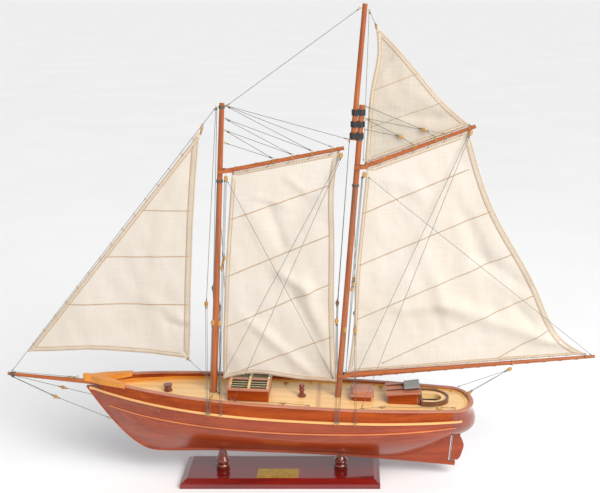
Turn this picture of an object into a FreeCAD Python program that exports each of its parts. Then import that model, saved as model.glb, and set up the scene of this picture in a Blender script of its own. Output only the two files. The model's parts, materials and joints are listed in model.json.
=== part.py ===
import FreeCAD, Part
import math
import os

# A two-masted gaff schooner model on a turned display stand.
# Frame: millimetres, +X towards the stern, +Z up, port side at -Y. The origin is
# the centre of the base board's underside and Y = 0 is the hull's centre plane.

V = FreeCAD.Vector
PORT = -1
STARBOARD = 1

# ---------------------------------------------------------------- driving dimensions
# display stand
BASE_LENGTH = 209.0
BASE_WIDTH = 64.0
BASE_EDGE = 5.0            # height of the board's upright edge
BASE_THICK = 9.0
BASE_BEVEL = 6.5           # how far the sloping edge runs in
PEDESTAL_X = 63.0          # pedestals stand this far each side of the origin
CRADLE_DEPTH = 1.8         # the keel sits this deep in each pedestal's slot
PEDESTAL_CONE = ((7.1, 0.12), (6.3, 0.24), (5.3, 0.41), (4.6, 0.57), (4.1, 0.72), (3.8, 0.86), (3.6, 1.0))
SCREW_RADIUS = 1.5
SCREW_HEAD = (3.2, 1.6)    # radius, height
PLATE_SIZE = (43.6, 18.6, 0.8)
PLATE_X = -3.0
PLATE_Y = -15.0

# hull
HALF_BEAM = 42.9           # cap rail's outer edge at the widest station
STEM_X = -204.0
WIDEST_X = 10.0            # the bow's curve ends here
RUN_X = 60.0               # the stern's curve begins here
TRANSOM_X = 178.0          # planking ends and the solid stern block begins
TRANSOM_HALF_BEAM = 34.0
STERN_X = 201.7            # aftmost point of the cap rail
BOW_STATION = -199.5
BULWARK_FRONT = -189.5     # the bulwarks stop here, and the bowsprit leaves through the gap
RAIL_OVERHANG = 0.8
RAIL_THICK = 1.5
RAIL_WIDTH = 4.2
PLANK_THICK = 2.6
DECK_THICK = 2.4
KEEL_HALF = 2.4            # half the thickness of stem, keel and sternpost
KEEL_DEPTH = 2.6           # from the planking down to the keel's underside
STEM_DEPTH = 1.2           # from the planking forward to the stem's edge
HEEL_X = 184.5             # after end of the keel's shoe
KEEL_FORE = (-130.0, 29.9) # where the stem's curve meets the straight keel
KEEL_DRAG = 1.79e-4        # the keel's underside falls away towards the stern by this curve
STEM_RAKE = 4.2            # square of the stem's slope far from the forefoot
STEM_CURVE = 118.0         # the larger, the longer the forefoot's curve
TUCK_X = 100.0             # the planking leaves the keel here and rises to the counter
TUCK_RISE = 32.0
HEAVY = 0.35               # radius of the standing rigging
LIGHT = 0.3                # radius of the running rigging
GAP = 0.15                 # clearance between neighbouring pieces

# spars: (x, z) of the axis at each end in the centre plane, radius at each end
FOREMAST = ((-73.7, 40.0), (-51.9, 397.7), 3.9, 2.5)
LOWER_MAST = ((56.0, 36.0), (84.8, 395.8), 3.3, 2.85)
TOPMAST = ((75.8, 361.5), (87.3, 491.9), 2.8, 2.45)
BOWSPRIT = ((-172.0, 103.6), (-284.5, 116.2), 2.4, 1.75)
MAIN_BOOM = ((69.4, 114.2), (327.4, 135.2), 3.1, 1.6)
MAIN_GAFF = ((85.8, 334.6), (196.1, 375.0), 2.3, 1.9)
FORE_GAFF = ((-48.6, 330.8), (67.0, 353.5), 2.3, 1.9)
BAND_HEIGHTS = (388.6, 377.0, 365.8)   # black bands that hold the topmast to the lower mast
BAND_WIDTH = 5.6

SAIL_THICK = 0.5
TOPSAIL_Y = 4.2            # the topsail hangs on the starboard side of its gaff
LIFT_SIDE = -4.0           # vangs and lifts hang on the port side of the sails

os.makedirs("parts", exist_ok=True)


# ---------------------------------------------------------------- small helpers
def save(node, *shapes):
    """Write one node; several shapes become separate solids of that node."""
    solids = []
    for shape in shapes:
        solids.extend(shape.Solids)
    shape = solids[0] if len(solids) == 1 else Part.makeCompound(solids)
    if not shape.isValid():
        print("not valid:", node)
    shape.exportStep(os.path.join("parts", node + ".step"))
    print(f"{node:24s} {len(solids):3d} solid(s)  {shape.Volume:10.1f} mm3")


def box(x0, x1, y0, y1, z0, z1):
    return Part.makeBox(x1 - x0, y1 - y0, z1 - z0, V(x0, y0, z0))


def cone(start, end, r_start, r_end):
    """Round bar from start to end, tapered where the two radii differ."""
    along = end - start
    if abs(r_start - r_end) < 1e-6:
        return Part.makeCylinder(r_start, along.Length, start, along)
    return Part.makeCone(r_start, r_end, along.Length, start, along)


def spar(ends):
    """Tapered spar with its axis in the centre plane."""
    (x0, z0), (x1, z1), r0, r1 = ends
    return cone(V(x0, 0, z0), V(x1, 0, z1), r0, r1)


def spar_point(ends, z):
    """Point of a mast's axis at height z."""
    (x0, z0), (x1, z1) = ends[0], ends[1]
    return V(x0 + (x1 - x0) * (z - z0) / (z1 - z0), 0, z)


def spar_at_x(ends, x, above=0.0):
    """Point of a boom's, gaff's or bowsprit's axis at x, raised by above."""
    (x0, z0), (x1, z1) = ends[0], ends[1]
    return V(x, 0, z0 + (z1 - z0) * (x - x0) / (x1 - x0) + above)


def line(start, end, radius, trim_start=0.8, trim_end=0.8):
    """A taut line that stops short of the fittings at its two ends."""
    along = (end - start).normalize()
    return cone(start + along * trim_start, end - along * trim_end, radius, radius)


def route(points, radius, trim=0.8):
    """Taut runs of one line, which turns at each point in between."""
    runs = zip(points[:-1], points[1:])
    return [line(a, b, radius, trim, trim) for a, b in runs]


def eyebolt(at, out, shank=2.6, ring=1.15, wire=0.3):
    """Ring whose middle is at the point, on a shank that runs the other way."""
    out = V(out).normalize()
    side = out.cross(V(0, 0, 1))
    if side.Length < 0.1:
        side = V(0, 1, 0)
    hoop = Part.makeTorus(ring, wire, at, side)
    stem = cone(at - out * (ring + shank), at - out * ring, wire, wire)
    return hoop.fuse(stem)


def block(at, along, length=5.0, radius=1.9, end=0.8):
    """Rounded wooden pulley block, longest along the line it hangs on."""
    along = V(along).normalize()
    shoulder = 0.5 * (radius + end) + 0.15
    marks = [(end, -length / 2), (shoulder, -length / 3), (radius, -length / 8)]
    marks += [(radius, length / 8), (shoulder, length / 3), (end, length / 2)]
    body = turned(marks, V(0, 0, 0))
    body.Placement = FreeCAD.Placement(at, FreeCAD.Rotation(V(0, 0, 1), along))
    return body


def turned(profile, at):
    """Solid of revolution from (radius, height) points about a vertical axis."""
    marks = [V(r, 0, h) for r, h in profile]
    marks = [V(0, 0, profile[0][1])] + marks + [V(0, 0, profile[-1][1])]
    wire = Part.makePolygon(marks + marks[:1])
    solid = Part.Face(wire).revolve(V(0, 0, 0), V(0, 0, 1), 360)
    solid.translate(at)
    return solid


def prism_y(points, y0, y1):
    """Straight-sided outline of (x, z) points, thickened from y0 to y1."""
    wire = Part.makePolygon([V(x, y0, z) for x, z in points + points[:1]])
    return Part.Face(wire).extrude(V(0, y1 - y0, 0))


def smooth_edge(points):
    """Smooth edge through its points."""
    spline = Part.BSplineCurve()
    spline.interpolate(points)
    return spline.toShape()


def straight_edge(a, b):
    return Part.LineSegment(a, b).toShape()


# ---------------------------------------------------------------- the hull's lines
def sheer(x):
    """Height of the cap rail's top."""
    return 97.7 - 0.0665 * x + 7.5e-5 * x * x


def deck_height(x):
    """Height of the deck's top, which nears the rail towards the stern."""
    return 92.85 - 0.0436 * x + 2.07e-5 * x * x


def keel_line(x):
    """Height of the keel's underside and of the stem's front edge."""
    aft = x - KEEL_FORE[0]
    if aft > 0:
        return KEEL_FORE[1] - KEEL_DRAG * aft * aft
    return KEEL_FORE[1] + math.sqrt(STEM_RAKE * aft * aft + STEM_CURVE ** 2) - STEM_CURVE


def keel_line_x(z):
    """Where the stem's front edge has the height z."""
    rise = z - KEEL_FORE[1] + STEM_CURVE
    return KEEL_FORE[0] - math.sqrt((rise ** 2 - STEM_CURVE ** 2) / STEM_RAKE)


def rabbet(x):
    """Height at which the planking meets the keel."""
    tuck = max(0.0, (x - TUCK_X) / (TRANSOM_X - TUCK_X))
    forefoot = min(1.0, max(0.0, (KEEL_FORE[0] - x) / 50.0))
    depth = KEEL_DEPTH + (STEM_DEPTH - KEEL_DEPTH) * forefoot
    return keel_line(x - depth) + depth + TUCK_RISE * tuck ** 2.4


def half_beam(x):
    """Half the width over the cap rails."""
    if x < WIDEST_X:
        fore = (WIDEST_X - x) / (WIDEST_X - STEM_X)
        return HALF_BEAM * (1 - fore ** 2.55)
    if x < RUN_X:
        return HALF_BEAM
    aft = (x - RUN_X) / (TRANSOM_X - RUN_X)
    return HALF_BEAM - (HALF_BEAM - TRANSOM_HALF_BEAM) * aft ** 1.8


def section_power(x):
    """Fullness of the cross-section: round at the stern, sharp at the bow."""
    shapes = ((BOW_STATION, 2.1, 1.15), (20.0, 3.5, 1.15),
              (140.0, 2.8, 1.2), (TRANSOM_X, 2.2, 0.62))
    for (x0, p0, q0), (x1, p1, q1) in zip(shapes[:-1], shapes[1:]):
        if x <= x1:
            s = max(0.0, (x - x0) / (x1 - x0))
            return p0 + s * (p1 - p0), q0 + s * (q1 - q0)
    return shapes[-1][1:]


def hull_half_width(x, z):
    """Half the width over the planking at x and height z."""
    low = rabbet(x)
    high = sheer(x) - RAIL_THICK
    rise = min(1.0, max(0.0, (z - low) / (high - low)))
    power, fullness = section_power(x)
    side = max(0.4, half_beam(x) - RAIL_OVERHANG - KEEL_HALF)
    return KEEL_HALF + side * (1 - (1 - rise) ** power) ** fullness


# ---------------------------------------------------------------- hull solids
def hull_solid(skin, x_front, x_back, raise_top=0.0, stations=19, rows=11):
    """Closed solid inside the hull's surface by skin, or outside it where skin is negative."""
    port, starboard = [], []
    for i in range(stations):
        x = x_front + (x_back - x_front) * 0.5 * (1 - math.cos(math.pi * i / (stations - 1)))
        low = rabbet(x) + max(0.0, skin) * 1.3
        high = sheer(x) - RAIL_THICK
        column = []
        for j in range(rows):
            s = j / (rows - 1)
            z = low + (high - low) * s
            y = max(0.8, hull_half_width(x, z - 0.5 * skin) - skin)
            column.append((y, z))
        if raise_top:
            column.append((column[-1][0], high + raise_top))
        port.append([V(x, -y, z) for y, z in column])
        starboard.append([V(x, y, z) for y, z in column])
    sides = []
    for grid in (port, starboard):
        surface = Part.BSplineSurface()
        surface.interpolate(grid)
        sides.append(surface)
    faces = [side.toShape() for side in sides]
    for cut in ("uIso", "vIso"):
        for end in (0.0, 1.0):
            edges = [getattr(side, cut)(end).toShape() for side in sides]
            faces.append(Part.makeRuledSurface(edges[0], edges[1]))
    shell = Part.Shell(faces)
    shell.sewShape()
    solid = Part.Solid(shell)
    if solid.Volume < 0:
        solid.reverse()
    return solid


def sheer_band(drop_top, drop_bottom):
    """Slab between two lines that follow the rail at the given drops (bow, middle, stern)."""
    def edge(drop):
        ends = (-212.0, 0.0, 212.0)
        marks = [V(x, -70, sheer(x) - d) for x, d in zip(ends, drop)]
        return Part.Arc(*marks).toShape(), marks
    top, top_marks = edge(drop_top)
    bottom, bottom_marks = edge(drop_bottom)
    sides = [straight_edge(top_marks[i], bottom_marks[i]) for i in (0, 2)]
    face = Part.Face(Part.Wire(Part.__sortEdges__([top, bottom] + sides)))
    return face.extrude(V(0, 140, 0))


def level_band(height, thick):
    """Slab whose top follows a height function, along the whole hull."""
    ends = (-212.0, 0.0, 212.0)
    top = Part.Arc(*[V(x, -70, height(x)) for x in ends]).toShape()
    bottom = Part.Arc(*[V(x, -70, height(x) - thick) for x in ends]).toShape()
    sides = [straight_edge(V(x, -70, height(x)), V(x, -70, height(x) - thick))
             for x in (ends[0], ends[2])]
    face = Part.Face(Part.Wire(Part.__sortEdges__([top, bottom] + sides)))
    return face.extrude(V(0, 140, 0))


def d_plan(x_flat, x_curve, x_end, half, z=0.0):
    """Face with a straight front edge, parallel sides and a half-elliptic after end."""
    centre = V(x_curve, 0, z)
    length = x_end - x_curve
    if half > length:
        ellipse = Part.Ellipse(centre + V(0, half, 0), centre + V(length, 0, 0), centre)
        arc = Part.ArcOfEllipse(ellipse, 0, math.pi).toShape()
    else:
        ellipse = Part.Ellipse(centre + V(length, 0, 0), centre + V(0, half, 0), centre)
        arc = Part.ArcOfEllipse(ellipse, -math.pi / 2, math.pi / 2).toShape()
    corners = [V(x_curve, half, z), V(x_flat, half, z), V(x_flat, -half, z), V(x_curve, -half, z)]
    edges = [straight_edge(a, b) for a, b in zip(corners[:-1], corners[1:]) if (a - b).Length > 1e-6]
    return Part.Face(Part.Wire(Part.__sortEdges__([arc] + edges)))


def stern_solid(grow=0.0, rows=12, columns=15):
    """Moulded stern block: half-elliptic in plan, rounded under the counter."""
    low, high = 53.0, 90.0
    tuck_top, tuck_reach, tuck_depth = 66.0, 18.1, 13.2
    grid = []
    for i in range(rows):
        z = low + (high - low) * (i / (rows - 1)) ** 1.8
        under = min(1.0, (tuck_top - z) / tuck_depth)
        reach = 187.0 + tuck_reach * math.sqrt(1 - max(0.0, under) ** 2)
        blend = min(1.0, max(0.0, (z - 70.0) / 10.0))
        reach -= 3.5 * blend * blend * (3 - 2 * blend)
        half = hull_half_width(TRANSOM_X, z) + grow
        length = reach - TRANSOM_X + grow
        turns = [math.pi * (j / (columns - 1) - 0.5) for j in range(columns)]
        grid.append([V(TRANSOM_X + length * math.cos(a), half * math.sin(a), z) for a in turns])
    skin = Part.BSplineSurface()
    skin.interpolate(grid)
    faces = [skin.toShape()]
    ends = [skin.uIso(u).toShape() for u in (0.0, 1.0)]
    sides = [skin.vIso(v).toShape() for v in (0.0, 1.0)]
    across = [straight_edge(row[0], row[-1]) for row in (grid[0], grid[-1])]
    for end, chord in zip(ends, across):
        faces.append(Part.Face(Part.Wire(Part.__sortEdges__([end, chord]))))
    faces.append(Part.Face(Part.Wire(Part.__sortEdges__(sides + across))))
    shell = Part.Shell(faces)
    shell.sewShape()
    solid = Part.Solid(shell)
    if solid.Volume < 0:
        solid.reverse()
    return solid


def half_space(side):
    """Everything on one side of the centre plane."""
    return box(-300, 350, 0, 100, 0, 520) if side == STARBOARD else box(-300, 350, -100, 0, 0, 520)


def along_rail(side, inset, x0, x1, count=7):
    """Points of a line that runs inside the rail's outer edge by inset, at height 0."""
    xs = [x0 + (x1 - x0) * i / (count - 1) for i in range(count)]
    return [V(x, side * (half_beam(x) - inset), 0) for x in xs]


WALE_TOP = (11.0, 14.4, 10.3)          # drops below the rail at bow, middle and stern
WALE_BOTTOM = (13.4, 16.8, 12.7)
STRIP_TOP = (26.2, 30.2, 17.0)
STRIP_BOTTOM = (27.4, 31.6, 18.4)
BULWARK_TOP = (RAIL_THICK,) * 3
DEEP = (160.0,) * 3                    # below everything
BOW_CAP = (-206.3, -183.0, -158.5, 5.2)  # x of nose, notch and arms' ends, and the arms' width
BOW_CAP_PROUD = 1.5
BULKHEAD_STATIONS = (-140, -95, -30, 20, 95, 130)
BULKHEAD_THICK = 3.0


def build_hull():
    outer = hull_solid(0.0, BOW_STATION, TRANSOM_X)
    block_outer = stern_solid()
    hold = hull_solid(PLANK_THICK, BOW_STATION + 8, TRANSOM_X + 3, 6.0)
    sprit_way = cone(V(BOWSPRIT[0][0] + 6, 0, BOWSPRIT[0][1] - 0.7), V(-220, 0, 108.8), 2.6, 2.6)
    clear_aft = d_plan(TRANSOM_X, TRANSOM_X, STERN_X - 0.6 - PLANK_THICK,
                       TRANSOM_HALF_BEAM - RAIL_OVERHANG - PLANK_THICK, 60.0).extrude(V(0, 0, 60))
    under_deck = level_band(lambda x: deck_height(x) - DECK_THICK - GAP, 90.0)

    save("hull_shell", outer.cut(hold).common(sheer_band(WALE_TOP, DEEP)))

    cap = bow_cap_solid()
    save("bow_cap", cap.cut(sprit_way))
    sides = outer.cut(hold).common(sheer_band(BULWARK_TOP, WALE_TOP))
    sides = sides.cut(cap).cut(sprit_way).cut(box(-260, BULWARK_FRONT, -60, 60, 60, 160))
    for side, name in ((PORT, "port"), (STARBOARD, "starboard")):
        save("bulwark_" + name, sides.common(half_space(side)))
    save("cap_rails", cap_rail(PORT), cap_rail(STARBOARD))
    rims = (("wales", 1.0, WALE_TOP, WALE_BOTTOM, BOW_STATION - 1, 188.0),
            ("lower_strips", 0.6, STRIP_TOP, STRIP_BOTTOM, -178.5, 182.0))
    for name, proud, top, bottom, x_start, x_end in rims:
        fat = hull_solid(-proud, BOW_STATION, TRANSOM_X).cut(outer)
        tail = stern_solid(proud).cut(block_outer)
        reach = box(x_start, x_end, -60, 60, 40, 120)
        strip = fat.fuse(tail).common(sheer_band(top, bottom)).common(reach)
        save(name, strip.common(half_space(PORT)), strip.common(half_space(STARBOARD)))

    pocket = clear_aft.common(level_band(lambda x: deck_height(x) + 20, 20 + DECK_THICK + GAP))
    well = cockpit_space()
    stock_bore = Part.makeCylinder(STOCK_RADIUS + 0.06, 12, rudder_axis_point(50.0), RUDDER_AXIS)
    aft_block = block_outer.common(sheer_band(BULWARK_TOP, DEEP)).cut(pocket).cut(well).cut(stock_bore)
    save("stern_block", aft_block)

    board = hold.common(box(-190, TRANSOM_X, -60, 60, 60, 130))
    board = board.fuse(clear_aft).common(level_band(deck_height, DECK_THICK)).cut(well)
    for mast in (FOREMAST, LOWER_MAST):
        foot = spar_point(mast, 60.0)
        head = spar_point(mast, 120.0)
        radius = mast[2] + GAP
        board = board.cut(cone(foot, head, radius, radius))
    save("deck", board.removeSplitter())

    inside = hull_solid(PLANK_THICK + 0.3, BOW_STATION + 10, TRANSOM_X - 1, 6.0).common(under_deck)
    half = BULKHEAD_THICK / 2
    slabs = [box(x - half, x + half, -60, 60, 0, 120) for x in BULKHEAD_STATIONS]
    save("bulkheads", *[inside.common(slab) for slab in slabs])

    save("keel", keel_plate(outer, sprit_way))


def cap_rail(side):
    """Rail that follows the planking's edge and half of the rounded stern."""
    start = BOW_CAP[2]
    outer = along_rail(side, 0.0, start, TRANSOM_X, 9)
    inner = along_rail(side, RAIL_WIDTH, start, TRANSOM_X, 9)
    edges = [smooth_edge(outer), smooth_edge(inner)]
    edges += [straight_edge(outer[0], inner[0]), straight_edge(outer[-1], inner[-1])]
    strip = Part.Face(Part.Wire(Part.__sortEdges__(edges))).extrude(V(0, 0, 150))
    half = TRANSOM_HALF_BEAM
    ring = d_plan(TRANSOM_X, TRANSOM_X, STERN_X + 0.6, half).cut(
        d_plan(TRANSOM_X - 1, TRANSOM_X, STERN_X + 0.6 - RAIL_WIDTH, half - RAIL_WIDTH))
    ring = ring.extrude(V(0, 0, 150)).common(half_space(side))
    return strip.fuse(ring).common(level_band(sheer, RAIL_THICK)).removeSplitter()


def bow_cap_solid():
    """Heavy V-shaped cap over the stem, a little higher than the rails that it meets."""
    nose, notch, arm_end, arm_width = BOW_CAP
    pieces = []
    for side in (PORT, STARBOARD):
        arm = [V(nose + 1.2, side * 2.0, 0)] + along_rail(side, -0.4, BOW_STATION, arm_end, 5)
        tip = V(nose, 0, 0)
        end = V(arm_end, side * (half_beam(arm_end) - arm_width), 0)
        back = V(notch, 0, 0)
        edges = [smooth_edge([tip] + arm), straight_edge(arm[-1], end)]
        edges += [straight_edge(end, back), straight_edge(back, tip)]
        pieces.append(Part.Face(Part.Wire(Part.__sortEdges__(edges))).extrude(V(0, 0, 150)))
    plan = pieces[0].fuse(pieces[1]).removeSplitter()
    side_view = [(nose - 2, 130), (arm_end + 1, 130), (arm_end + 1, sheer(arm_end) - 3.0)]
    side_view += [(nose + 12, sheer(nose + 12) - 6.2), (nose - 2, sheer(nose) - 5.0)]
    top = level_band(lambda x: sheer(x) + BOW_CAP_PROUD, 30)
    return plan.common(prism_y(side_view, -40, 40)).common(top)


def keel_plate(outer, sprit_way):
    """Stem, keel and sternpost as one plate outside the planking, with the rudder's heel shoe."""
    stem_xs = [keel_line_x(102.6), -196, -186, -176, -166, -156, -147, -138, KEEL_FORE[0]]
    stem_xs += [-90, -30, 30, 90, 140, HEEL_X]
    stem = [V(x, 0, keel_line(x)) for x in stem_xs]
    heel = stem[-1]
    shoe_top = heel + V(0.6, 0, 4.0)
    post_foot = V(post_x(shoe_top.z), 0, shoe_top.z)
    post_head = V(post_x(52.6), 0, 52.6)
    top_aft = V(150.0, 0, 60.0)
    top_fore = V(-150.0, 0, 60.0)
    stem_back = V(-190.0, 0, 102.6)
    stem_head = V(keel_line_x(102.6), 0, 102.6)
    corners = [heel, shoe_top, post_foot, post_head, top_aft, top_fore, stem_back, stem_head, stem[0]]
    edges = [smooth_edge(stem)]
    edges += [straight_edge(a, b) for a, b in zip(corners[:-1], corners[1:])]
    face = Part.Face(Part.Wire(Part.__sortEdges__(edges)))
    plate = face.extrude(V(0, 2 * KEEL_HALF, 0))
    plate.translate(V(0, -KEEL_HALF, 0))
    heel_bore = Part.makeCylinder(PIN_RADIUS + 0.06, 12, rudder_axis_point(8.0), RUDDER_AXIS)
    plate = plate.cut(outer).cut(sprit_way).cut(heel_bore).cut(stern_solid())
    plate = plate.common(box(-260, 260, -10, 10, 0, 118))
    return max(plate.Solids, key=lambda s: s.Volume)


# ---------------------------------------------------------------- rudder
STOCK_RADIUS = 1.3
PIN_RADIUS = 0.7
ROD_RADIUS = 1.1           # bright rod along the rudder's leading edge
RUDDER_THICK = 3.0
RUDDER_FOOT = V(179.9, 0, 17.7)
RUDDER_HEAD = V(182.9, 0, 52.2)
RUDDER_AXIS = (RUDDER_HEAD - RUDDER_FOOT).normalize()


def rudder_axis_point(z):
    return RUDDER_FOOT + RUDDER_AXIS * ((z - RUDDER_FOOT.z) / RUDDER_AXIS.z)


def post_x(z):
    """The sternpost's after edge, which runs parallel to the rudder's axis."""
    return rudder_axis_point(z).x - 2.2


def build_rudder():
    foot = rudder_axis_point(18.2)
    head = rudder_axis_point(52.0)
    outline = [(head.x, head.z), (190.9, 52.0), (189.9, 45.4), (192.2, 41.0), (193.9, 34.6),
               (192.4, 28.4), (190.2, 21.6), (187.2, 18.2), (foot.x, foot.z)]
    trailing = smooth_edge([V(x, 0, z) for x, z in outline[2:8]])
    marks = [V(x, 0, z) for x, z in outline]
    edges = [straight_edge(marks[0], marks[1]), straight_edge(marks[1], marks[2]), trailing,
             straight_edge(marks[7], marks[8]), straight_edge(marks[8], marks[0])]
    blade = Part.Face(Part.Wire(Part.__sortEdges__(edges))).extrude(V(0, RUDDER_THICK, 0))
    blade.translate(V(0, -RUDDER_THICK / 2, 0))
    level = box(150, 220, -10, 10, foot.z + 0.1, head.z - 0.1)
    rod = cone(foot, head, ROD_RADIUS, ROD_RADIUS)
    stock = cone(rudder_axis_point(46.0), rudder_axis_point(58.5), STOCK_RADIUS, STOCK_RADIUS)
    pin = cone(rudder_axis_point(14.4), rudder_axis_point(22.0), PIN_RADIUS, PIN_RADIUS)
    rod = rod.fuse(stock).fuse(pin)
    save("rudder", blade.common(level).cut(rod))
    save("rudder_rod", rod)


# ---------------------------------------------------------------- spars
def jaws(end, mast, cheek=1.1, reach=2.0):
    """Two cheeks that take a boom's or gaff's end past both sides of the mast and narrow towards the spar."""
    axis = spar_point(mast, end.z)
    radius = mast[2] + 0.5
    outer, inner = radius + cheek, 2.2
    front, shoulder, back = axis.x - reach, axis.x + radius + 0.8, end.x + 4.0
    corners = [V(front, -outer, 0), V(shoulder, -outer, 0), V(back, -inner, 0),
               V(back, inner, 0), V(shoulder, outer, 0), V(front, outer, 0)]
    fork = Part.Face(Part.makePolygon(corners + corners[:1])).extrude(V(0, 0, 3.4))
    fork.translate(V(0, 0, end.z - 1.7))
    return fork.cut(box(front - 1.0, shoulder, -radius, radius, end.z - 3.0, end.z + 3.0))


def swinging_spar(ends, mast):
    """Boom or gaff with its jaws."""
    (x0, z0) = ends[0]
    return spar(ends).fuse(jaws(V(x0, 0, z0), mast)).removeSplitter()


def build_spars():
    save("bowsprit", spar(BOWSPRIT))
    save("foremast", spar(FOREMAST))
    save("main_lower_mast", spar(LOWER_MAST))
    save("main_topmast", spar(TOPMAST))
    bands = []
    for z in BAND_HEIGHTS:
        lower = spar_point(LOWER_MAST, z)
        upper = spar_point(TOPMAST, z)
        foot = V(0, 0, BAND_WIDTH / 2)
        ring = []
        for grow in (1.0, 0.05):
            discs = [Part.makeCylinder(radius + grow, BAND_WIDTH, at - foot)
                     for at, radius in ((lower, 2.95), (upper, 2.8))]
            joint = box(upper.x, lower.x, -2.7 - grow, 2.7 + grow, z - foot.z, z + foot.z)
            ring.append(discs[0].fuse(discs[1]).fuse(joint))
        bands.append(ring[0].cut(spar(LOWER_MAST)).cut(spar(TOPMAST)).cut(ring[1]))
    save("mast_bands", *bands)
    save("main_boom", swinging_spar(MAIN_BOOM, LOWER_MAST))
    save("main_gaff", swinging_spar(MAIN_GAFF, LOWER_MAST))
    save("fore_gaff", swinging_spar(FORE_GAFF, FOREMAST))


# ---------------------------------------------------------------- sails
def sail(edges, y=0.0):
    """Flat stand-in of a sail in a plane parallel to the centre plane."""
    face = Part.Face(Part.Wire(Part.__sortEdges__(edges)))
    solid = face.extrude(V(0, SAIL_THICK, 0))
    solid.translate(V(0, y - SAIL_THICK / 2, 0))
    return solid


def along_spar(ends, x0, x1, above):
    return V(x0, 0, spar_at_x(ends, x0).z + above), V(x1, 0, spar_at_x(ends, x1).z + above)


def build_sails():
    head, tack, clew = V(-75.0, 0, 368.6), V(-261.5, 0, 140.8), V(-94.1, 0, 133.3)
    leech = smooth_edge([head, V(-83.9, 0, 289.0), V(-88.6, 0, 226.0), clew])
    foot = smooth_edge([tack, V(-175.4, 0, 141.6), clew])
    save("jib", sail([straight_edge(tack, head), leech, foot]))

    throat, peak = along_spar(FORE_GAFF, -44.0, 62.5, -3.1)
    tack, clew = V(-59.8, 0, 110.2), V(57.0, 0, 108.6)
    luff = smooth_edge([tack, V(-56.9, 0, 176.0), V(-50.4, 0, 264.0), throat])
    leech = smooth_edge([peak, V(54.4, 0, 327.0), V(53.3, 0, 212.0), V(55.0, 0, 158.0), clew])
    foot = smooth_edge([tack, V(-31.0, 0, 116.4), V(10.0, 0, 111.4), clew])
    save("foresail", sail([straight_edge(throat, peak), luff, leech, foot]))

    throat, peak = along_spar(MAIN_GAFF, 89.5, 189.5, -3.1)
    tack, clew = along_spar(MAIN_BOOM, 71.0, 317.4, 3.5)
    luff = smooth_edge([tack, V(77.2, 0, 176.0), V(78.7, 0, 212.0), V(83.0, 0, 266.0), throat])
    leech = smooth_edge([peak, V(216.0, 0, 291.4), V(265.0, 0, 203.0), V(290.0, 0, 155.0), clew])
    save("mainsail", sail([straight_edge(throat, peak), luff, leech, straight_edge(tack, clew)]))

    head, tack, clew = V(98.0, 0, 470.5), V(87.6, 0, 337.6), V(191.0, 0, 375.4)
    luff = smooth_edge([tack, V(90.2, 0, 372.0), V(94.0, 0, 414.0), V(99.6, 0, 446.0), head])
    leech = smooth_edge([head, V(117.5, 0, 451.4), V(147.3, 0, 417.0), V(163.6, 0, 398.8), clew])
    save("topsail", sail([luff, leech, straight_edge(tack, clew)], TOPSAIL_Y))


# ---------------------------------------------------------------- deck furniture
def on_deck(x, y, lift=0.0):
    return V(x, y, deck_height(x) + lift)


def seated(x0, x1, half, bottom, top, y0=None):
    """Box whose underside meets the sloping deck and whose top is parallel to it."""
    low = -half if y0 is None else y0
    profile = [(x, deck_height(x) + h) for x, h in ((x0, bottom), (x1, bottom), (x1, top), (x0, top))]
    return prism_y(profile, low, half)


def build_skylight():
    x0, x1, half, eave, ridge, wall = -53.0, -11.2, 22.0, 11.5, 15.0, 2.0
    house = seated(x0, x1, half, 0.0, eave)
    house = house.cut(seated(x0 + wall, x1 - wall, half - wall, -1.0, eave + 1.0))
    save("skylight_house", house)
    over = 1.2
    slope = [(-half - over, eave), (0, ridge), (half + over, eave)]
    deck_mid = deck_height(0.5 * (x0 + x1))
    tilt = math.degrees(math.atan2(deck_height(x1) - deck_height(x0), x1 - x0))
    marks = [V(x0 - over, y, h) for y, h in slope]
    under = [V(x0 - over, y, h + 1.6) for y, h in reversed(slope)]
    section = Part.Face(Part.makePolygon(marks + under + marks[:1]))
    roof = section.extrude(V(x1 - x0 + 2 * over, 0, 0))
    panes = []
    for start in (x0 + 2.6, 0.5 * (x0 + x1) + 1.6):
        length = 0.5 * (x1 - x0) - 4.2
        for side in (PORT, STARBOARD):
            y0, y1 = sorted((side * 2.2, side * (half - 2.0)))
            panes.append(box(start, start + length, y0, y1, eave - 1, ridge + 6))
    glass = [pane.common(roof) for pane in panes]
    roof_blank = roof.copy()
    thin = roof.copy()
    thin.translate(V(0, 0, -0.8))
    glass = [pane.common(thin) for pane in glass]
    for pane in panes:
        roof = roof.cut(pane)
    middle = V(0.5 * (x0 + x1), 0, 0)
    bars = []
    bar_top = thin.copy()
    bar_top.translate(V(0, 0, 0.62))
    strip_top = roof_blank.copy()
    strip_top.translate(V(0, 0, 0.45))
    for pane in glass:
        limits = pane.BoundBox
        for k in range(1, 4):
            y = limits.YMin + limits.YLength * k / 4
            slab = box(limits.XMin, limits.XMax, y - 0.22, y + 0.22, 0, 40)
            bars.append(slab.common(bar_top).cut(thin))
    for x, broad in ((x0 + 1.7, 1.7), (middle.x, 2.2), (x1 - 1.7, 1.7)):
        for side in (PORT, STARBOARD):
            y0, y1 = sorted((side * 1.6, side * (half - 1.4)))
            strip = box(x - broad / 2, x + broad / 2, y0, y1, 0, 40).common(strip_top)
            bars.append(strip.cut(roof_blank))
        if x > x0 + wall:
            knob = Part.makeSphere(1.2, V(x, 0, ridge + 2.4))
            bars.append(knob.cut(strip_top))
    for shape in [roof] + glass + bars:
        shape.rotate(middle, V(0, 1, 0), -tilt)
        shape.translate(V(0, 0, deck_mid))
    frame = roof.cut(house)
    save("skylight_roof", frame)
    save("skylight_panes", *[g.cut(house) for g in glass])
    save("skylight_bars", *bars)


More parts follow.
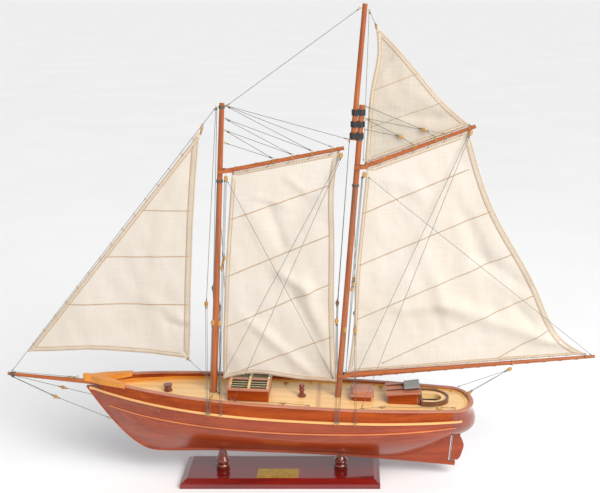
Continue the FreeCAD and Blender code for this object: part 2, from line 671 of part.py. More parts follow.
def build_hatch():
    x0, x1, half, wall, top = 76.0, 94.6, 10.4, 2.2, 5.0
    coaming = seated(x0, x1, half, 0.0, top)
    save("hatch_coaming", coaming.cut(seated(x0 + wall, x1 - wall, half - wall, -1.0, top + 1.0)))
    brim = seated(73.2, 98.0, 12.0, top, 6.8)
    save("hatch_lid", brim.fuse(seated(75.8, 95.6, 10.4, 6.8, 10.8)))


COMPANION = (113.0, 142.4, 14.4, 9.3)          # x0, x1, half width, wall height
ROOF_X = (110.3, 146.0)
ROOF_THICK = 2.0
ROOF_SLOPE = 0.085         # the roof rises towards its after end by this much more than the deck
RUNNER_SLOPE = 0.0625      # the hatch's runners rise by this much more than the roof
RUNNER_Y = 6.5
HATCH_X = (129.4, 145.4)
HATCH_TRAVEL = 15.0


def between(x0, x1, y0, y1, low, high):
    """Straight-sided block between two heights that depend on x."""
    return prism_y([(x0, low(x0)), (x1, low(x1)), (x1, high(x1)), (x0, high(x0))], y0, y1)


def eaves(x):
    """Height of the top of the companionway's walls."""
    return deck_height(x) + COMPANION[3] + ROOF_SLOPE * (x - COMPANION[0])


def runner_top(x):
    return eaves(x) + ROOF_THICK + 0.9 + RUNNER_SLOPE * (x - ROOF_X[0])


def build_companionway():
    x0, x1, half, wall_top = COMPANION
    wall = 1.8
    below = lambda x: deck_height(x) - 1.0
    above = lambda x: eaves(x) + 1.0
    walls = between(x0, x1, -half, half, deck_height, eaves)
    walls = walls.cut(between(x0 + wall, x1 - wall, wall - half, half - wall, below, above))
    frame = between(x1 + 1.2, x1 + 3.0, -half - 0.6, half + 0.6, deck_height, eaves)
    frame = frame.cut(between(x1, x1 + 4.0, 3.2 - half, half - 3.2, below, lambda x: eaves(x) - 1.4))
    save("companionway_walls", walls, frame)
    roof_top = lambda x: eaves(x) + ROOF_THICK
    save("companionway_roof", between(ROOF_X[0], ROOF_X[1], -15.5, 15.5, eaves, roof_top))
    runners = []
    for side in (PORT, STARBOARD):
        y0, y1 = sorted((side * (RUNNER_Y - 0.5), side * (RUNNER_Y + 0.5)))
        runners.append(between(110.9, 145.4, y0, y1, lambda x: roof_top(x) + 0.03, runner_top))
    save("hatch_runners", *runners)
    underside = lambda x: runner_top(x) + 0.1
    lid = between(HATCH_X[0], HATCH_X[1], -10.0, 10.0, underside, lambda x: underside(x) + 1.5)
    save("sliding_hatch", lid)


COCKPIT_X = (146.6, 176.6)
COCKPIT_HALF = 19.0
WELL_HALF = 9.1
WELL_DEPTH = 4.6


def cockpit_space():
    """Room that the cockpit's tub takes out of the deck."""
    return d_plan(COCKPIT_X[0] + 0.6, 160.0, 170.4, WELL_HALF + 1.5, 60.0).extrude(V(0, 0, 60))


def build_cockpit():
    x0, x1 = COCKPIT_X
    outer = d_plan(x0, 155.0, x1, COCKPIT_HALF, 60.0).extrude(V(0, 0, 60))
    inner = d_plan(x0 + 2.0, 155.0, x1 - 2.0, COCKPIT_HALF - 2.0, 60.0).extrude(V(0, 0, 60))
    save("cockpit_coaming", outer.cut(inner).common(level_band(lambda x: deck_height(x) + 5.0, 5.0)))
    floor = deck_height(160.0) - WELL_DEPTH
    tub = d_plan(x0 + 0.8, 160.0, 170.2, WELL_HALF + 1.3, floor).extrude(V(0, 0, 30))
    hollow = d_plan(x0 + 2.2, 160.0, 168.8, WELL_HALF, floor + 1.2).extrude(V(0, 0, 30))
    seat = inner.common(level_band(lambda x: deck_height(x) + 3.2, 3.2))
    tub = tub.common(level_band(lambda x: deck_height(x) + 3.2, 30.0)).fuse(seat).cut(hollow)
    limits = inner.fuse(box(x0, x1, -12, 12, 60, deck_height(x1)))
    save("cockpit_well", tub.common(limits).removeSplitter())
    sole = d_plan(x0 + 2.3, 160.0, 168.7, WELL_HALF - 0.1, floor + 1.2)
    save("cockpit_sole", sole.extrude(V(0, 0, 0.8)))


CLEAT_X = (4.0, 106.0, 165.0)
CLEAT_Y = 27.0


def build_deck_fittings():
    drum = [(4.6, 0), (4.6, 1.0), (3.7, 1.6), (3.7, 5.2), (4.7, 5.8), (4.7, 6.8)]
    save("capstan", turned(drum, on_deck(-117.4, -3.0, 0.25)))
    post = [(4.4, 0), (4.4, 1.4), (2.6, 2.4), (2.0, 4.6), (2.9, 6.6), (3.4, 7.4)]
    post += [(2.2, 8.4), (2.2, 9.2), (3.0, 10.4), (3.0, 12.2), (1.8, 13.4)]
    save("bollard", turned(post, on_deck(22.4, -3.0, 0.25)))
    cleats = []
    for side in (PORT, STARBOARD):
        for x in CLEAT_X:
            y = side * CLEAT_Y
            bar = Part.makeCylinder(0.6, 6.0, on_deck(x - 3.0, y, 2.0), V(1, 0, -0.04))
            foot = Part.makeCylinder(0.9, 1.8, on_deck(x, y, 0.05))
            cleats.append(bar.fuse(foot))
    save("deck_cleats", *cleats)


def build_hull_eyebolts():
    eyes = [eyebolt(STEM_EYE, (-1, 0, -0.9), shank=0.6)]
    for side in (PORT, STARBOARD):
        for x, y in DECK_EYES:
            eyes.append(eyebolt(on_deck(x, side * y, 1.5), (0, 0, 1), shank=0.1, ring=1.0))
        for forward, after in SHROUD_FEET.values():
            for x in (forward, forward + 2.6, after):
                eyes.append(eyebolt(wale_eye(x, side), (0, side, 0), shank=1.0))
        eyes.append(eyebolt(hull_eye(side), (0, side, 0), shank=1.2))
    save("hull_eyebolts", *eyes)


DECK_EYES = ((-70.3, 22.0), (-47.0, 30.5), (30.9, 31.0), (84.2, 33.5), (181.0, 22.8))


# ---------------------------------------------------------------- rigging
def wale_eye(x, side):
    """Eye of a chain plate, clear of the cap rail's edge."""
    return V(x, side * (half_beam(x) + 3.4), sheer(x) - 15.0)


SHROUD_FEET = {"fore": (-71.8, -57.6), "main": (58.3, 78.5)}
HULL_EYE_X = -121.7
FORE_TOP = V(-57.4, 0, 393.8)
FORE_LOW = V(-58.4, 0, 320.5)
MAIN_TOP = V(72.4, 0, 362.4)
MAIN_LOW = V(77.6, 0, 316.0)


def shroud(top, foot, fraction, shift=0.0):
    """Standing line down to a block, and a doubled line from there to the chain plate.

    Returns the lines and the block, which sits at the given fraction of the way down.
    """
    at = top + (foot - top) * fraction + V(shift, 0, 0)
    start = V(top.x, 3.7 * math.copysign(1, foot.y), top.z)
    lines = [line(start, at, HEAVY, 1.0, 2.7)]
    for offset in (-0.7, 0.7):
        aside = V(offset, 0, 0)
        lines.append(line(at + aside, foot + aside, LIGHT, 3.0, 1.7))
    return lines, block(at, foot - start)


def build_shrouds():
    blocks = []
    for mast, top, low in (("fore", FORE_TOP, FORE_LOW), ("main", MAIN_TOP, MAIN_LOW)):
        forward, after = SHROUD_FEET[mast]
        lines = []
        for side in (PORT, STARBOARD):
            legs = ((top, forward, 0.63, -4.0), (low, forward + 2.6, 0.60, 0.0), (low, after, 0.60, 0.0))
            for start, x, fraction, shift in legs:
                runs, pulley = shroud(start, wale_eye(x, side), fraction, shift)
                lines.extend(runs)
                blocks.append(pulley)
        save(mast + "_shrouds", *lines)
    return blocks


BOB_BLOCK = V(-236.8, 0, 90.2)
STEM_EYE = V(-180.6, 0, 65.6)


def build_bow_rigging():
    tip = spar_at_x(BOWSPRIT, -281.5)
    under = tip - V(0, 0, 2.4)
    lines = [line(BOB_BLOCK, STEM_EYE, HEAVY, 2.9, 1.6)]
    for aside in (-0.6, 0.6):
        lines.append(line(under + V(0, aside, 0), BOB_BLOCK + V(0, aside, 0), LIGHT, 0.6, 2.8))
    blocks = [block(BOB_BLOCK, STEM_EYE - under)]
    for side in (PORT, STARBOARD):
        foot = hull_eye(side)
        start = tip + V(0, side * 2.3, 0)
        at = start + (foot - start) * 0.36
        lines.append(line(start, at, HEAVY, 0.5, 2.8))
        lines.append(line(at, foot, HEAVY, 2.8, 1.5))
        blocks.append(block(at, foot - start))
    lines.append(line(spar_at_x(BOWSPRIT, -279.0, 2.5), spar_at_x(BOWSPRIT, -213.0, 4.0), LIGHT))
    save("bowsprit_rigging", *lines)
    return blocks


def hull_eye(side):
    return V(HULL_EYE_X, side * (half_beam(HULL_EYE_X) + 2.4), sheer(HULL_EYE_X) - 18.0)


FORE_EYES = (394.8, 382.1, 370.8, 358.5)
MAIN_EYES = (393.8, 382.1, 371.8)
TOPSAIL_EYE = 485.6


def after_eye(mast, z, reach=3.6):
    """Eye on the after side of a masthead."""
    axis = spar_point(mast, z)
    return V(axis.x + mast[3] + reach - 1.6, 0, z)


def build_stays():
    eyes = []
    for z in FORE_EYES:
        eyes.append(eyebolt(after_eye(FOREMAST, z), (1, 0, 0), shank=0.5, ring=0.9))
    for z in MAIN_EYES:
        eyes.append(eyebolt(after_eye(LOWER_MAST, z), (1, 0, 0), shank=0.5, ring=0.9))
    fore_side = V(-57.6, 0, 393.8)
    eyes.append(eyebolt(fore_side, (-1, 0, 0), shank=2.0, ring=0.9))
    heel_side = V(70.4, 0, 362.4)
    eyes.append(eyebolt(heel_side, (-1, 0, 0), shank=2.0, ring=0.9))
    top_eye = V(82.6, 0, 487.7)
    eyes.append(eyebolt(top_eye, (-1, 0, 0), shank=2.0, ring=0.9))
    halyard_eye = after_eye(TOPMAST, TOPSAIL_EYE)
    eyes.append(eyebolt(halyard_eye, (1, 0, 0), shank=0.5, ring=0.9))
    eyes.append(eyebolt(spar_at_x(BOWSPRIT, -212.0, 4.2), (0, 0, 1), shank=2.0))
    spars = spar(FOREMAST).fuse(spar(LOWER_MAST)).fuse(spar(TOPMAST)).fuse(spar(BOWSPRIT))
    save("spar_eyebolts", *trimmed(eyes, spars))
    tip = spar_at_x(BOWSPRIT, -280.5, 2.6)
    first = after_eye(FOREMAST, FORE_EYES[0])
    save("stays", line(tip, fore_side, HEAVY, 0.6, 1.4), line(first, top_eye, HEAVY, 1.4, 1.4),
         line(first + V(-2.0, 2.8, 0.4), heel_side, HEAVY, 0.0, 1.4),
         line(halyard_eye - V(0, 0.7, 0), V(86.0, -4.4, 341.0), LIGHT, 1.5, 0.0))


def trimmed(fittings, spars):
    """Each fitting without the part that would be inside a spar."""
    return [max(fitting.cut(spars).Solids, key=lambda solid: solid.Volume) for fitting in fittings]


def on_gaff(ends, x):
    """Eyelet on top of a gaff."""
    return spar_at_x(ends, x, 3.3)


FORE_GAFF_EYES = (55.2, 35.4, 16.1, -3.2)
MAIN_GAFF_EYES = (135.9, 157.4, 167.0)
MAIN_BLOCKS = (V(145.1, 0, 371.4), V(122.6, 0, 364.6))


def build_fore_rig():
    """Lines and fittings that swing with the fore gaff, and the vangs from it to the deck."""
    peak = V(64.0, LIFT_SIDE, 346.6)
    throat = V(-49.6, LIFT_SIDE - 1.2, 324.0)
    lines = [line(throat, V(56.0, LIFT_SIDE, 111.0), LIGHT, 2.9, 0.5)]
    for i, z in enumerate(FORE_EYES):
        top = after_eye(FOREMAST, z) + V(2.2, 0, 0)
        for x, drop in zip(FORE_GAFF_EYES[i:i + 2], (-0.9, -1.9)):
            lines.append(line(top + V(0, 0, drop), on_gaff(FORE_GAFF, x), HEAVY, 0.8, 1.3))
    save("fore_halyards", *lines)
    eyes = [eyebolt(on_gaff(FORE_GAFF, x), (0, 0, 1), shank=1.0, ring=0.9) for x in FORE_GAFF_EYES]
    blocks = [block(peak, (0.3, 0, 1)), block(throat, (0, 0, 1))]
    save("fore_gaff_fittings", *blocks, *trimmed(eyes, spar(FORE_GAFF)))
    feet = [on_deck(x, -y, 1.5) for x, y in DECK_EYES[:2]]
    save("fore_vangs", line(peak, feet[0], LIGHT, 2.9, 1.6),
         line(peak + V(1.2, 0, 0), feet[1], LIGHT, 3.0, 1.6))


def build_main_rig():
    """Lines and fittings that swing with the main boom and gaff."""
    peak = V(191.0, LIFT_SIDE, 369.2)
    throat = V(87.0, LIFT_SIDE - 1.2, 327.6)
    high, low = MAIN_BLOCKS
    tops = [after_eye(LOWER_MAST, z) + V(2.4, 0, 0) for z in MAIN_EYES]
    lines = [line(tops[0], high, HEAVY, 0.8, 2.8), line(tops[1] + V(0, 0, 0.5), high, HEAVY, 1.0, 3.0),
             line(tops[1] - V(0, 0, 0.6), low, HEAVY, 0.8, 2.8), line(tops[2], low, HEAVY, 0.8, 3.0)]
    eyelets = [on_gaff(MAIN_GAFF, x) for x in MAIN_GAFF_EYES]
    for pulley, eyelet in zip((low, high, high), eyelets):
        lines.append(line(pulley, eyelet, LIGHT, 2.7, 1.3))
    boom_end = spar_at_x(MAIN_BOOM, 323.6, 2.6)
    lines.append(line(throat + V(1.6, -2.2, 0), boom_end + V(0, -3.4, 0), LIGHT, 2.9, 0.6))
    topsail_head = V(97.9, TOPSAIL_Y, 471.3)
    lines.append(line(after_eye(TOPMAST, TOPSAIL_EYE) + V(0, 0.5, 0), topsail_head, LIGHT, 1.5, 0.6))
    for k in range(3):
        aside = V(0.5 * k, 1.3 * (k - 1), 0)
        lines.append(line(V(82.6, 0, 320.0) + aside, V(75.3, 0, 214.0) + aside, LIGHT, 0.0, 0.5))
        lines.append(line(V(75.3, 0, 213.0) + aside, V(68.9, 0, 118.6) + aside, LIGHT, 0.5, 0.0))
    save("main_halyards", *lines)
    bail = spar_at_x(MAIN_BOOM, 241.8)
    hoop = Part.makeTorus(2.9, 0.45, bail, V(1, 0, 0)).cut(spar(MAIN_BOOM))
    upper = bail + V(-2.5, 0, -7.4)
    lower = V(198.6, 4.6, 92.4)
    blocks = [block(high, (1, 0, -0.4)), block(low, (1, 0, -0.5)), block(upper, (1, 0, 0.5))]
    blocks += [block(peak, (0.3, 0, 1)), block(throat, (0, 0, 1))]
    eyes = [eyebolt(eyelet, (0, 0, 1), shank=1.0, ring=0.9) for eyelet in eyelets]
    save("main_rig_fittings", hoop, *blocks, *trimmed(eyes, spar(MAIN_GAFF)))
    foot = on_deck(DECK_EYES[3][0], -DECK_EYES[3][1], 1.5)
    vangs = [line(peak, foot, LIGHT, 2.9, 1.6),
             line(peak - V(1.2, 0, 0), V(71.5, -9.0, 100.0), LIGHT, 3.0, 0.5)]
    quarter = V(188.4, 28.6, sheer(188) + 1.2)
    sheet = [line(upper, lower, LIGHT, 2.8, 2.8), line(upper + V(0, 1, -0.8), quarter, LIGHT, 3.0, 0.5)]
    save("main_vangs_and_sheet", *vangs, *sheet)
    return [block(lower, (0.8, 0, 0.6))]


def build_deck_lines():
    """The jib's sheet along the port side, and the main rig's tackle falls abaft it."""
    clew = V(-95.4, -0.8, 132.6)
    lead = on_deck(DECK_EYES[1][0], -DECK_EYES[1][1] + 0.8, 3.0)
    last = on_deck(DECK_EYES[2][0], -DECK_EYES[2][1], 2.0)
    cleats = [on_deck(x, -CLEAT_Y + aside, 2.4) for x, aside in zip(CLEAT_X, (-1.4, -1.4, 1.4))]
    fall = [on_deck(x, -y, 2.0) for x, y in DECK_EYES[3:]]
    lines = route([clew, lead, cleats[0], last], LIGHT, 1.6)
    lines += route([fall[0], cleats[1], cleats[2], fall[1]], LIGHT, 1.6)
    save("deck_lines", *lines)


# ---------------------------------------------------------------- stand
def build_stand():
    half_x, half_y = BASE_LENGTH / 2, BASE_WIDTH / 2
    wires = []
    for z, inset in ((BASE_EDGE, 0.0), (BASE_THICK, BASE_BEVEL)):
        x, y = half_x - inset, half_y - inset
        corners = [V(-x, -y, z), V(x, -y, z), V(x, y, z), V(-x, y, z)]
        wires.append(Part.makePolygon(corners + corners[:1]))
    board = box(-half_x, half_x, -half_y, half_y, 0, BASE_EDGE).fuse(Part.makeLoft(wires, True, True))
    screws = []
    for x in (-PEDESTAL_X, PEDESTAL_X):
        foot = V(x, 0, 0)
        head = V(x, 0, SCREW_HEAD[1])
        screw = Part.makeCylinder(SCREW_RADIUS, 13.0, head)
        screws.append(screw.fuse(Part.makeCylinder(*SCREW_HEAD, head)))
        board = board.cut(Part.makeCylinder(SCREW_HEAD[0] + 0.2, 2 * SCREW_HEAD[1], foot))
        board = board.cut(Part.makeCylinder(SCREW_RADIUS + GAP, 20, foot))
    save("base_board", board.removeSplitter())
    save("stand_screws", *screws)
    length, width, thick = PLATE_SIZE
    save("name_plate", box(PLATE_X - length / 2, PLATE_X + length / 2, PLATE_Y - width / 2,
                           PLATE_Y + width / 2, BASE_THICK, BASE_THICK + thick))
    for x, name in ((-PEDESTAL_X, "fore"), (PEDESTAL_X, "aft")):
        top = keel_line(x) + CRADLE_DEPTH
        tall = top - BASE_THICK
        shape = [(5.9, 0.0), (6.1, 0.8), (6.9, 1.4), (7.3, 2.4), (7.5, 3.3), (7.3, 4.2), (6.8, 4.9)]
        shape += [(5.5, 5.5), (5.5, 6.2), (6.5, 6.7), (7.2, 7.5), (7.5, 8.4)]
        cone_foot = shape[-1][1]
        shape += [(radius, cone_foot + (tall - cone_foot) * part) for radius, part in PEDESTAL_CONE]
        leg = turned(shape, V(x, 0, BASE_THICK))
        slot = prism_y([(x - 9, keel_line(x - 9)), (x + 9, keel_line(x + 9)), (x + 9, 60), (x - 9, 60)],
                       -KEEL_HALF - GAP, KEEL_HALF + GAP)
        thread = Part.makeCylinder(SCREW_RADIUS, 7.0, V(x, 0, BASE_THICK - 0.5))
        save("pedestal_" + name, leg.cut(slot).cut(thread))


build_hull()
build_rudder()
build_spars()
build_sails()
build_skylight()
build_hatch()
build_companionway()
build_cockpit()
build_deck_fittings()
build_hull_eyebolts()
build_stays()
build_fore_rig()
build_deck_lines()
build_stand()
save("rigging_blocks", *build_shrouds(), *build_bow_rigging(), *build_main_rig())
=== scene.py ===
import json
import math

import bpy
import numpy as np
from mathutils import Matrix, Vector, noise


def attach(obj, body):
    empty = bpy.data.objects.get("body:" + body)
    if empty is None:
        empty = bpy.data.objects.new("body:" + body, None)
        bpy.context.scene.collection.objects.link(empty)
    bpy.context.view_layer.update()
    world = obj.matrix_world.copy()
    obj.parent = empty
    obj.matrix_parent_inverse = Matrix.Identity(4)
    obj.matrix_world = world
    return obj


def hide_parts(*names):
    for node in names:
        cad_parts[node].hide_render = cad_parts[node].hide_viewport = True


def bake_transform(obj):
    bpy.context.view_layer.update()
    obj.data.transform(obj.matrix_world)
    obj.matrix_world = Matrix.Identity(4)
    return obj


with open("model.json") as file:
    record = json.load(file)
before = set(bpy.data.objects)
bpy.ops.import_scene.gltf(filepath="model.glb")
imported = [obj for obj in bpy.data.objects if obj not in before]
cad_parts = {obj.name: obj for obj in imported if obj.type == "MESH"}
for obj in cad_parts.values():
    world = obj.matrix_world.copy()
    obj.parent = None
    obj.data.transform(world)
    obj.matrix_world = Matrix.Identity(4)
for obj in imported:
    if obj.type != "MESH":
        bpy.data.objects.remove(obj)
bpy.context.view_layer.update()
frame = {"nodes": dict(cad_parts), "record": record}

# Looks of a two-masted gaff schooner model on its stand: varnished woods, sewn cotton
# sails, twisted rigging, blocks and lacings. Shapes are worked out in millimetres in the
# frame of the CAD model (+X towards the stern, +Z up, port side at -Y).

MM = 0.001
V = Vector
PORT, STARBOARD = -1, 1

# -------------------- dimensions from the CAD
FOREMAST = ((-73.7, 40.0), (-51.9, 397.7), 3.9, 2.5)      # (x, z) of both ends, and both radii
LOWER_MAST = ((56.0, 36.0), (84.8, 395.8), 3.3, 2.85)
TOPMAST = ((75.8, 361.5), (87.3, 491.9), 2.8, 2.45)
BOWSPRIT = ((-172.0, 103.6), (-284.5, 116.2), 2.4, 1.75)
MAIN_BOOM = ((69.4, 114.2), (327.4, 135.2), 3.1, 1.6)
MAIN_GAFF = ((85.8, 334.6), (196.1, 375.0), 2.3, 1.9)
FORE_GAFF = ((-48.6, 330.8), (67.0, 353.5), 2.3, 1.9)
HEAVY, LIGHT = 0.35, 0.3      # radii of the rigging lines
TOPSAIL_Y = 4.2
LIFT_SIDE = -4.0
PLANK_THICK = 2.6
RAIL_THICK = 1.5
CLEAT_X, CLEAT_Y = (4.0, 106.0, 165.0), 27.0
DECK_EYES = ((-70.3, 22.0), (-47.0, 30.5), (30.9, 31.0), (84.2, 33.5), (181.0, 22.8))
KEEL_FORE = (-130.0, 29.9)     # where the straight keel turns up into the stem
STEM_CURVE = 118.0
DECK_FRONT = -172.0
STERN_X, STERN_REACH, STERN_HALF = 178.0, 20.5, 30.6      # start, length and half width of the round stern
EDGE_POINTS = 90


def sheer(x):
    return 97.7 - 0.0665 * x + 7.5e-5 * x * x


def deck_height(x):
    return 92.85 - 0.0436 * x + 2.07e-5 * x * x


def half_beam(x):
    if x < 10:
        return 42.9 * (1 - ((10 - x) / 214) ** 2.55)
    return 42.9 - 8.9 * (max(0.0, x - 60) / 118) ** 1.8


def keel_line(x):
    """Height of the keel's underside and of the stem's front edge."""
    aft = x - KEEL_FORE[0]
    if aft > 0:
        return KEEL_FORE[1] - 1.79e-4 * aft * aft
    return KEEL_FORE[1] + math.sqrt(4.2 * aft * aft + STEM_CURVE ** 2) - STEM_CURVE


def hull_half_width(x, z):
    """Half the width over the planking at x and height z."""
    depth = 2.6 - 1.4 * min(1.0, max(0.0, (KEEL_FORE[0] - x) / 50.0))
    tuck = max(0.0, (x - 100.0) / 78.0)
    low = keel_line(x - depth) + depth + 32.0 * tuck ** 2.4
    high = sheer(x) - RAIL_THICK
    rise = min(1.0, max(0.0, (z - low) / (high - low)))
    sections = ((-199.5, 2.1, 1.15), (20.0, 3.5, 1.15), (140.0, 2.8, 1.2), (STERN_X, 2.2, 0.62))
    places, powers, fullness = zip(*sections)
    power = np.interp(x, places, powers)
    full = np.interp(x, places, fullness)
    return 2.4 + max(0.4, half_beam(x) - 3.2) * (1 - (1 - rise) ** power) ** full


def inner_edge(side, inset):
    """Plan of the bulwark's inner face moved inwards by inset, from the bow to the stern's middle."""
    points = []
    for x in np.linspace(DECK_FRONT, STERN_X, EDGE_POINTS):
        z = deck_height(x)
        points.append((x, side * (hull_half_width(x, z) - PLANK_THICK - inset)))
    for a in np.linspace(0.04, 0.5 * math.pi, 24):
        x = STERN_X + (STERN_REACH - inset) * math.sin(a)
        points.append((x, side * (STERN_HALF - inset) * math.cos(a)))
    return points


def on_deck(x, y, lift):
    return V((x, y, deck_height(x) + lift))


def spar_x(ends, z):
    """Point of a mast's axis at height z."""
    (x0, z0), (x1, z1) = ends[:2]
    return V((x0 + (x1 - x0) * (z - z0) / (z1 - z0), 0, z))


def spar_z(ends, x, above=0.0):
    """Point of a boom's, gaff's or bowsprit's axis at x, raised by above."""
    (x0, z0), (x1, z1) = ends[:2]
    return V((x, 0, z0 + (z1 - z0) * (x - x0) / (x1 - x0) + above))


def spar_radius(ends, x):
    (x0, _), (x1, _), r0, r1 = ends
    return r0 + (r1 - r0) * (x - x0) / (x1 - x0)


# -------------------- materials
def rgb(colour):
    """Linear colour of an 8-bit one."""
    def linear(c):
        c /= 255
        return c / 12.92 if c <= 0.04045 else ((c + 0.055) / 1.055) ** 2.4
    return tuple(linear(c) for c in colour) + (1.0,)


class Shader:
    """A material and short names for the nodes that it is built from."""

    def __init__(self, name, **values):
        self.material = bpy.data.materials.new(name)
        self.material.use_nodes = True
        self.tree = self.material.node_tree
        self.bsdf = self.tree.nodes["Principled BSDF"]
        self.coords = self.add("ShaderNodeTexCoord").outputs["Object"]
        for socket, value in values.items():
            self.bsdf.inputs[socket.replace("_", " ")].default_value = value

    def add(self, kind, **settings):
        node = self.tree.nodes.new(kind)
        for name, value in settings.items():
            setattr(node, name, value)
        return node

    def link(self, source, target):
        self.tree.links.new(source, target)

    def feed(self, socket, value):
        """Give a socket a fixed value or the output of another node."""
        if isinstance(value, (int, float, tuple)):
            socket.default_value = value
        else:
            self.link(value, socket)

    def noise(self, scale, detail, rough=0.6, distortion=0.0):
        """Noise whose scale is in features per metre along each axis."""
        place = self.add("ShaderNodeMapping")
        self.link(self.coords, place.inputs["Vector"])
        place.inputs["Scale"].default_value = scale
        node = self.add("ShaderNodeTexNoise")
        self.link(place.outputs["Vector"], node.inputs["Vector"])
        settings = {"Scale": 1.0, "Detail": detail, "Roughness": rough, "Distortion": distortion}
        for name, value in settings.items():
            node.inputs[name].default_value = value
        return node.outputs["Fac"]

    def math(self, operation, a, b=0.0):
        node = self.add("ShaderNodeMath", operation=operation)
        self.feed(node.inputs[0], a)
        self.feed(node.inputs[1], b)
        return node.outputs[0]

    def share(self, a, b, part):
        """Sum of two values, in which the second one has the given part."""
        return self.math("ADD", self.math("MULTIPLY", a, 1 - part), self.math("MULTIPLY", b, part))

    def ramp(self, factor, *stops):
        """Colour from (position, colour) stops."""
        node = self.add("ShaderNodeValToRGB")
        ramp = node.color_ramp
        while len(ramp.elements) < len(stops):
            ramp.elements.new(0.5)
        for element, (position, colour) in zip(ramp.elements, stops):
            element.position = position
            element.color = colour if hasattr(colour, "__len__") else (colour, colour, colour, 1)
        self.link(factor, node.inputs["Fac"])
        return node.outputs["Color"]

    def mix(self, factor, a, b, blend="MIX"):
        node = self.add("ShaderNodeMix", data_type="RGBA", blend_type=blend)
        for socket, value in ((0, factor), (6, a), (7, b)):
            self.feed(node.inputs[socket], value)
        return node.outputs[2]

    def axis(self, name):
        node = self.add("ShaderNodeSeparateXYZ")
        self.link(self.coords, node.inputs[0])
        return node.outputs[name]

    def colour(self, source):
        self.link(source, self.bsdf.inputs["Base Color"])

    def roughness(self, source, low, high):
        node = self.add("ShaderNodeMapRange")
        self.link(source, node.inputs["Value"])
        node.inputs["To Min"].default_value = low
        node.inputs["To Max"].default_value = high
        self.link(node.outputs[0], self.bsdf.inputs["Roughness"])

    def bump(self, height, strength, depth_mm):
        node = self.add("ShaderNodeBump")
        node.inputs["Strength"].default_value = strength
        node.inputs["Distance"].default_value = depth_mm * MM
        self.link(height, node.inputs["Height"])
        self.link(node.outputs[0], self.bsdf.inputs["Normal"])


THREADS_PER_M = 1150.0


def grain_scale(along, across_per_m, along_per_m):
    """Noise scale that is fine across the grain and long along it."""
    return tuple(along_per_m if axis == along else across_per_m for axis in "xyz")


def wood(name, light, dark, along="x", rough=0.34, coat=0.35, coat_rough=0.12, pores=0.35, figure=0.5,
         planks=None, joint=None, specular=0.5):
    """Varnished wood with long grain, dark pores, slow tone changes and, if asked for, planks."""
    light, dark = rgb(light), rgb(dark)
    s = Shader(name, Coat_Weight=coat, Coat_Roughness=coat_rough, Specular_IOR_Level=specular)
    fine = s.noise(grain_scale(along, 620, 22), 7.0, 0.65, 0.4)
    broad = s.noise(grain_scale(along, 75, 9), 3.0, 0.5, 1.2)
    colour = s.ramp(s.share(fine, broad, figure), (0.32, dark), (0.66, light))
    pore = s.noise(grain_scale(along, 1900, 95), 2.0, 0.5)
    specks = s.ramp(pore, (0.30, 1.0), (0.42, 0.0))
    shade = tuple(c * 0.45 for c in dark[:3]) + (1.0,)
    colour = s.mix(s.math("MULTIPLY", specks, pores), colour, shade)
    if planks:
        axis, width, seam = planks
        seam = rgb(seam)
        place = s.math("ADD", s.math("DIVIDE", s.axis(axis), width * MM), 100.5)
        across = s.math("FRACT", place)
        tone = s.add("ShaderNodeTexWhiteNoise", noise_dimensions="1D")
        s.link(s.math("FLOOR", place), tone.inputs["W"])
        colour = s.mix(0.5, colour, s.ramp(tone.outputs["Value"], (0.0, 0.72), (1.0, 1.0)), "MULTIPLY")
        edge = s.math("ABSOLUTE", s.math("SUBTRACT", across, 0.5))
        gap = s.ramp(edge, (0.5 - 0.22 / width, 0.0), (0.5, 1.0))
        colour = s.mix(s.math("MULTIPLY", gap, 0.7), colour, seam)
        if joint is not None:
            away = s.math("ABSOLUTE", s.math("SUBTRACT", s.axis("X"), joint * MM))
            colour = s.mix(s.math("MULTIPLY", s.ramp(away, (0.0003, 1.0), (0.0005, 0.0)), 0.8), colour, seam)
        s.bump(s.math("SUBTRACT", s.math("MULTIPLY", fine, 0.25), gap), 0.35, 0.25)
    else:
        s.bump(s.math("SUBTRACT", s.math("MULTIPLY", fine, 0.5), specks), 0.22, 0.08)
    s.colour(colour)
    s.roughness(fine, rough * 0.8, rough * 1.25)
    return s.material


def cloth(name, light, dark):
    """Plain-woven cotton: crossed slubby threads, faint stains and a soft sheen."""
    light, dark = rgb(light), rgb(dark)
    s = Shader(name, Roughness=0.88, Sheen_Weight=0.12, Sheen_Roughness=0.5, Specular_IOR_Level=0.25)
    warp = s.noise((THREADS_PER_M, 60, 40), 3.0)
    weft = s.noise((40, 60, THREADS_PER_M), 3.0)
    weave = s.share(warp, weft, 0.5)
    stain = s.noise((14, 14, 14), 4.0, 0.55)
    colour = s.ramp(weave, (0.36, dark), (0.58, light))
    soft = tuple(c * k for c, k in zip(light[:3], (0.90, 0.85, 0.76))) + (1.0,)
    colour = s.mix(s.math("MULTIPLY", s.ramp(stain, (0.42, 0.0), (0.72, 1.0)), 0.55), colour, soft)
    s.colour(colour)
    s.bump(weave, 0.5, 0.12)
    return s.material


def thread(name, light, dark):
    """Twisted yarn: the twist is in the mesh, fibres and tone are here."""
    s = Shader(name, Roughness=0.8, Sheen_Weight=0.2)
    fibre = s.noise((2600, 2600, 2600), 3.0)
    tone = s.noise((60, 60, 60), 2.0, 0.5)
    s.colour(s.ramp(s.share(fibre, tone, 0.4), (0.35, rgb(dark)), (0.65, rgb(light))))
    s.bump(fibre, 0.3, 0.05)
    return s.material


def metal(name, light, dark, rough=0.3, metallic=1.0):
    """Metal with faint tarnish and fine scratches."""
    s = Shader(name, Metallic=metallic)
    tarnish = s.noise((240, 240, 240), 5.0)
    scratch = s.noise((2400, 160, 2400), 2.0, 0.5)
    s.colour(s.ramp(tarnish, (0.35, rgb(dark)), (0.6, rgb(light))))
    s.roughness(scratch, rough * 0.7, rough * 1.5)
    s.bump(scratch, 0.15, 0.04)
    return s.material


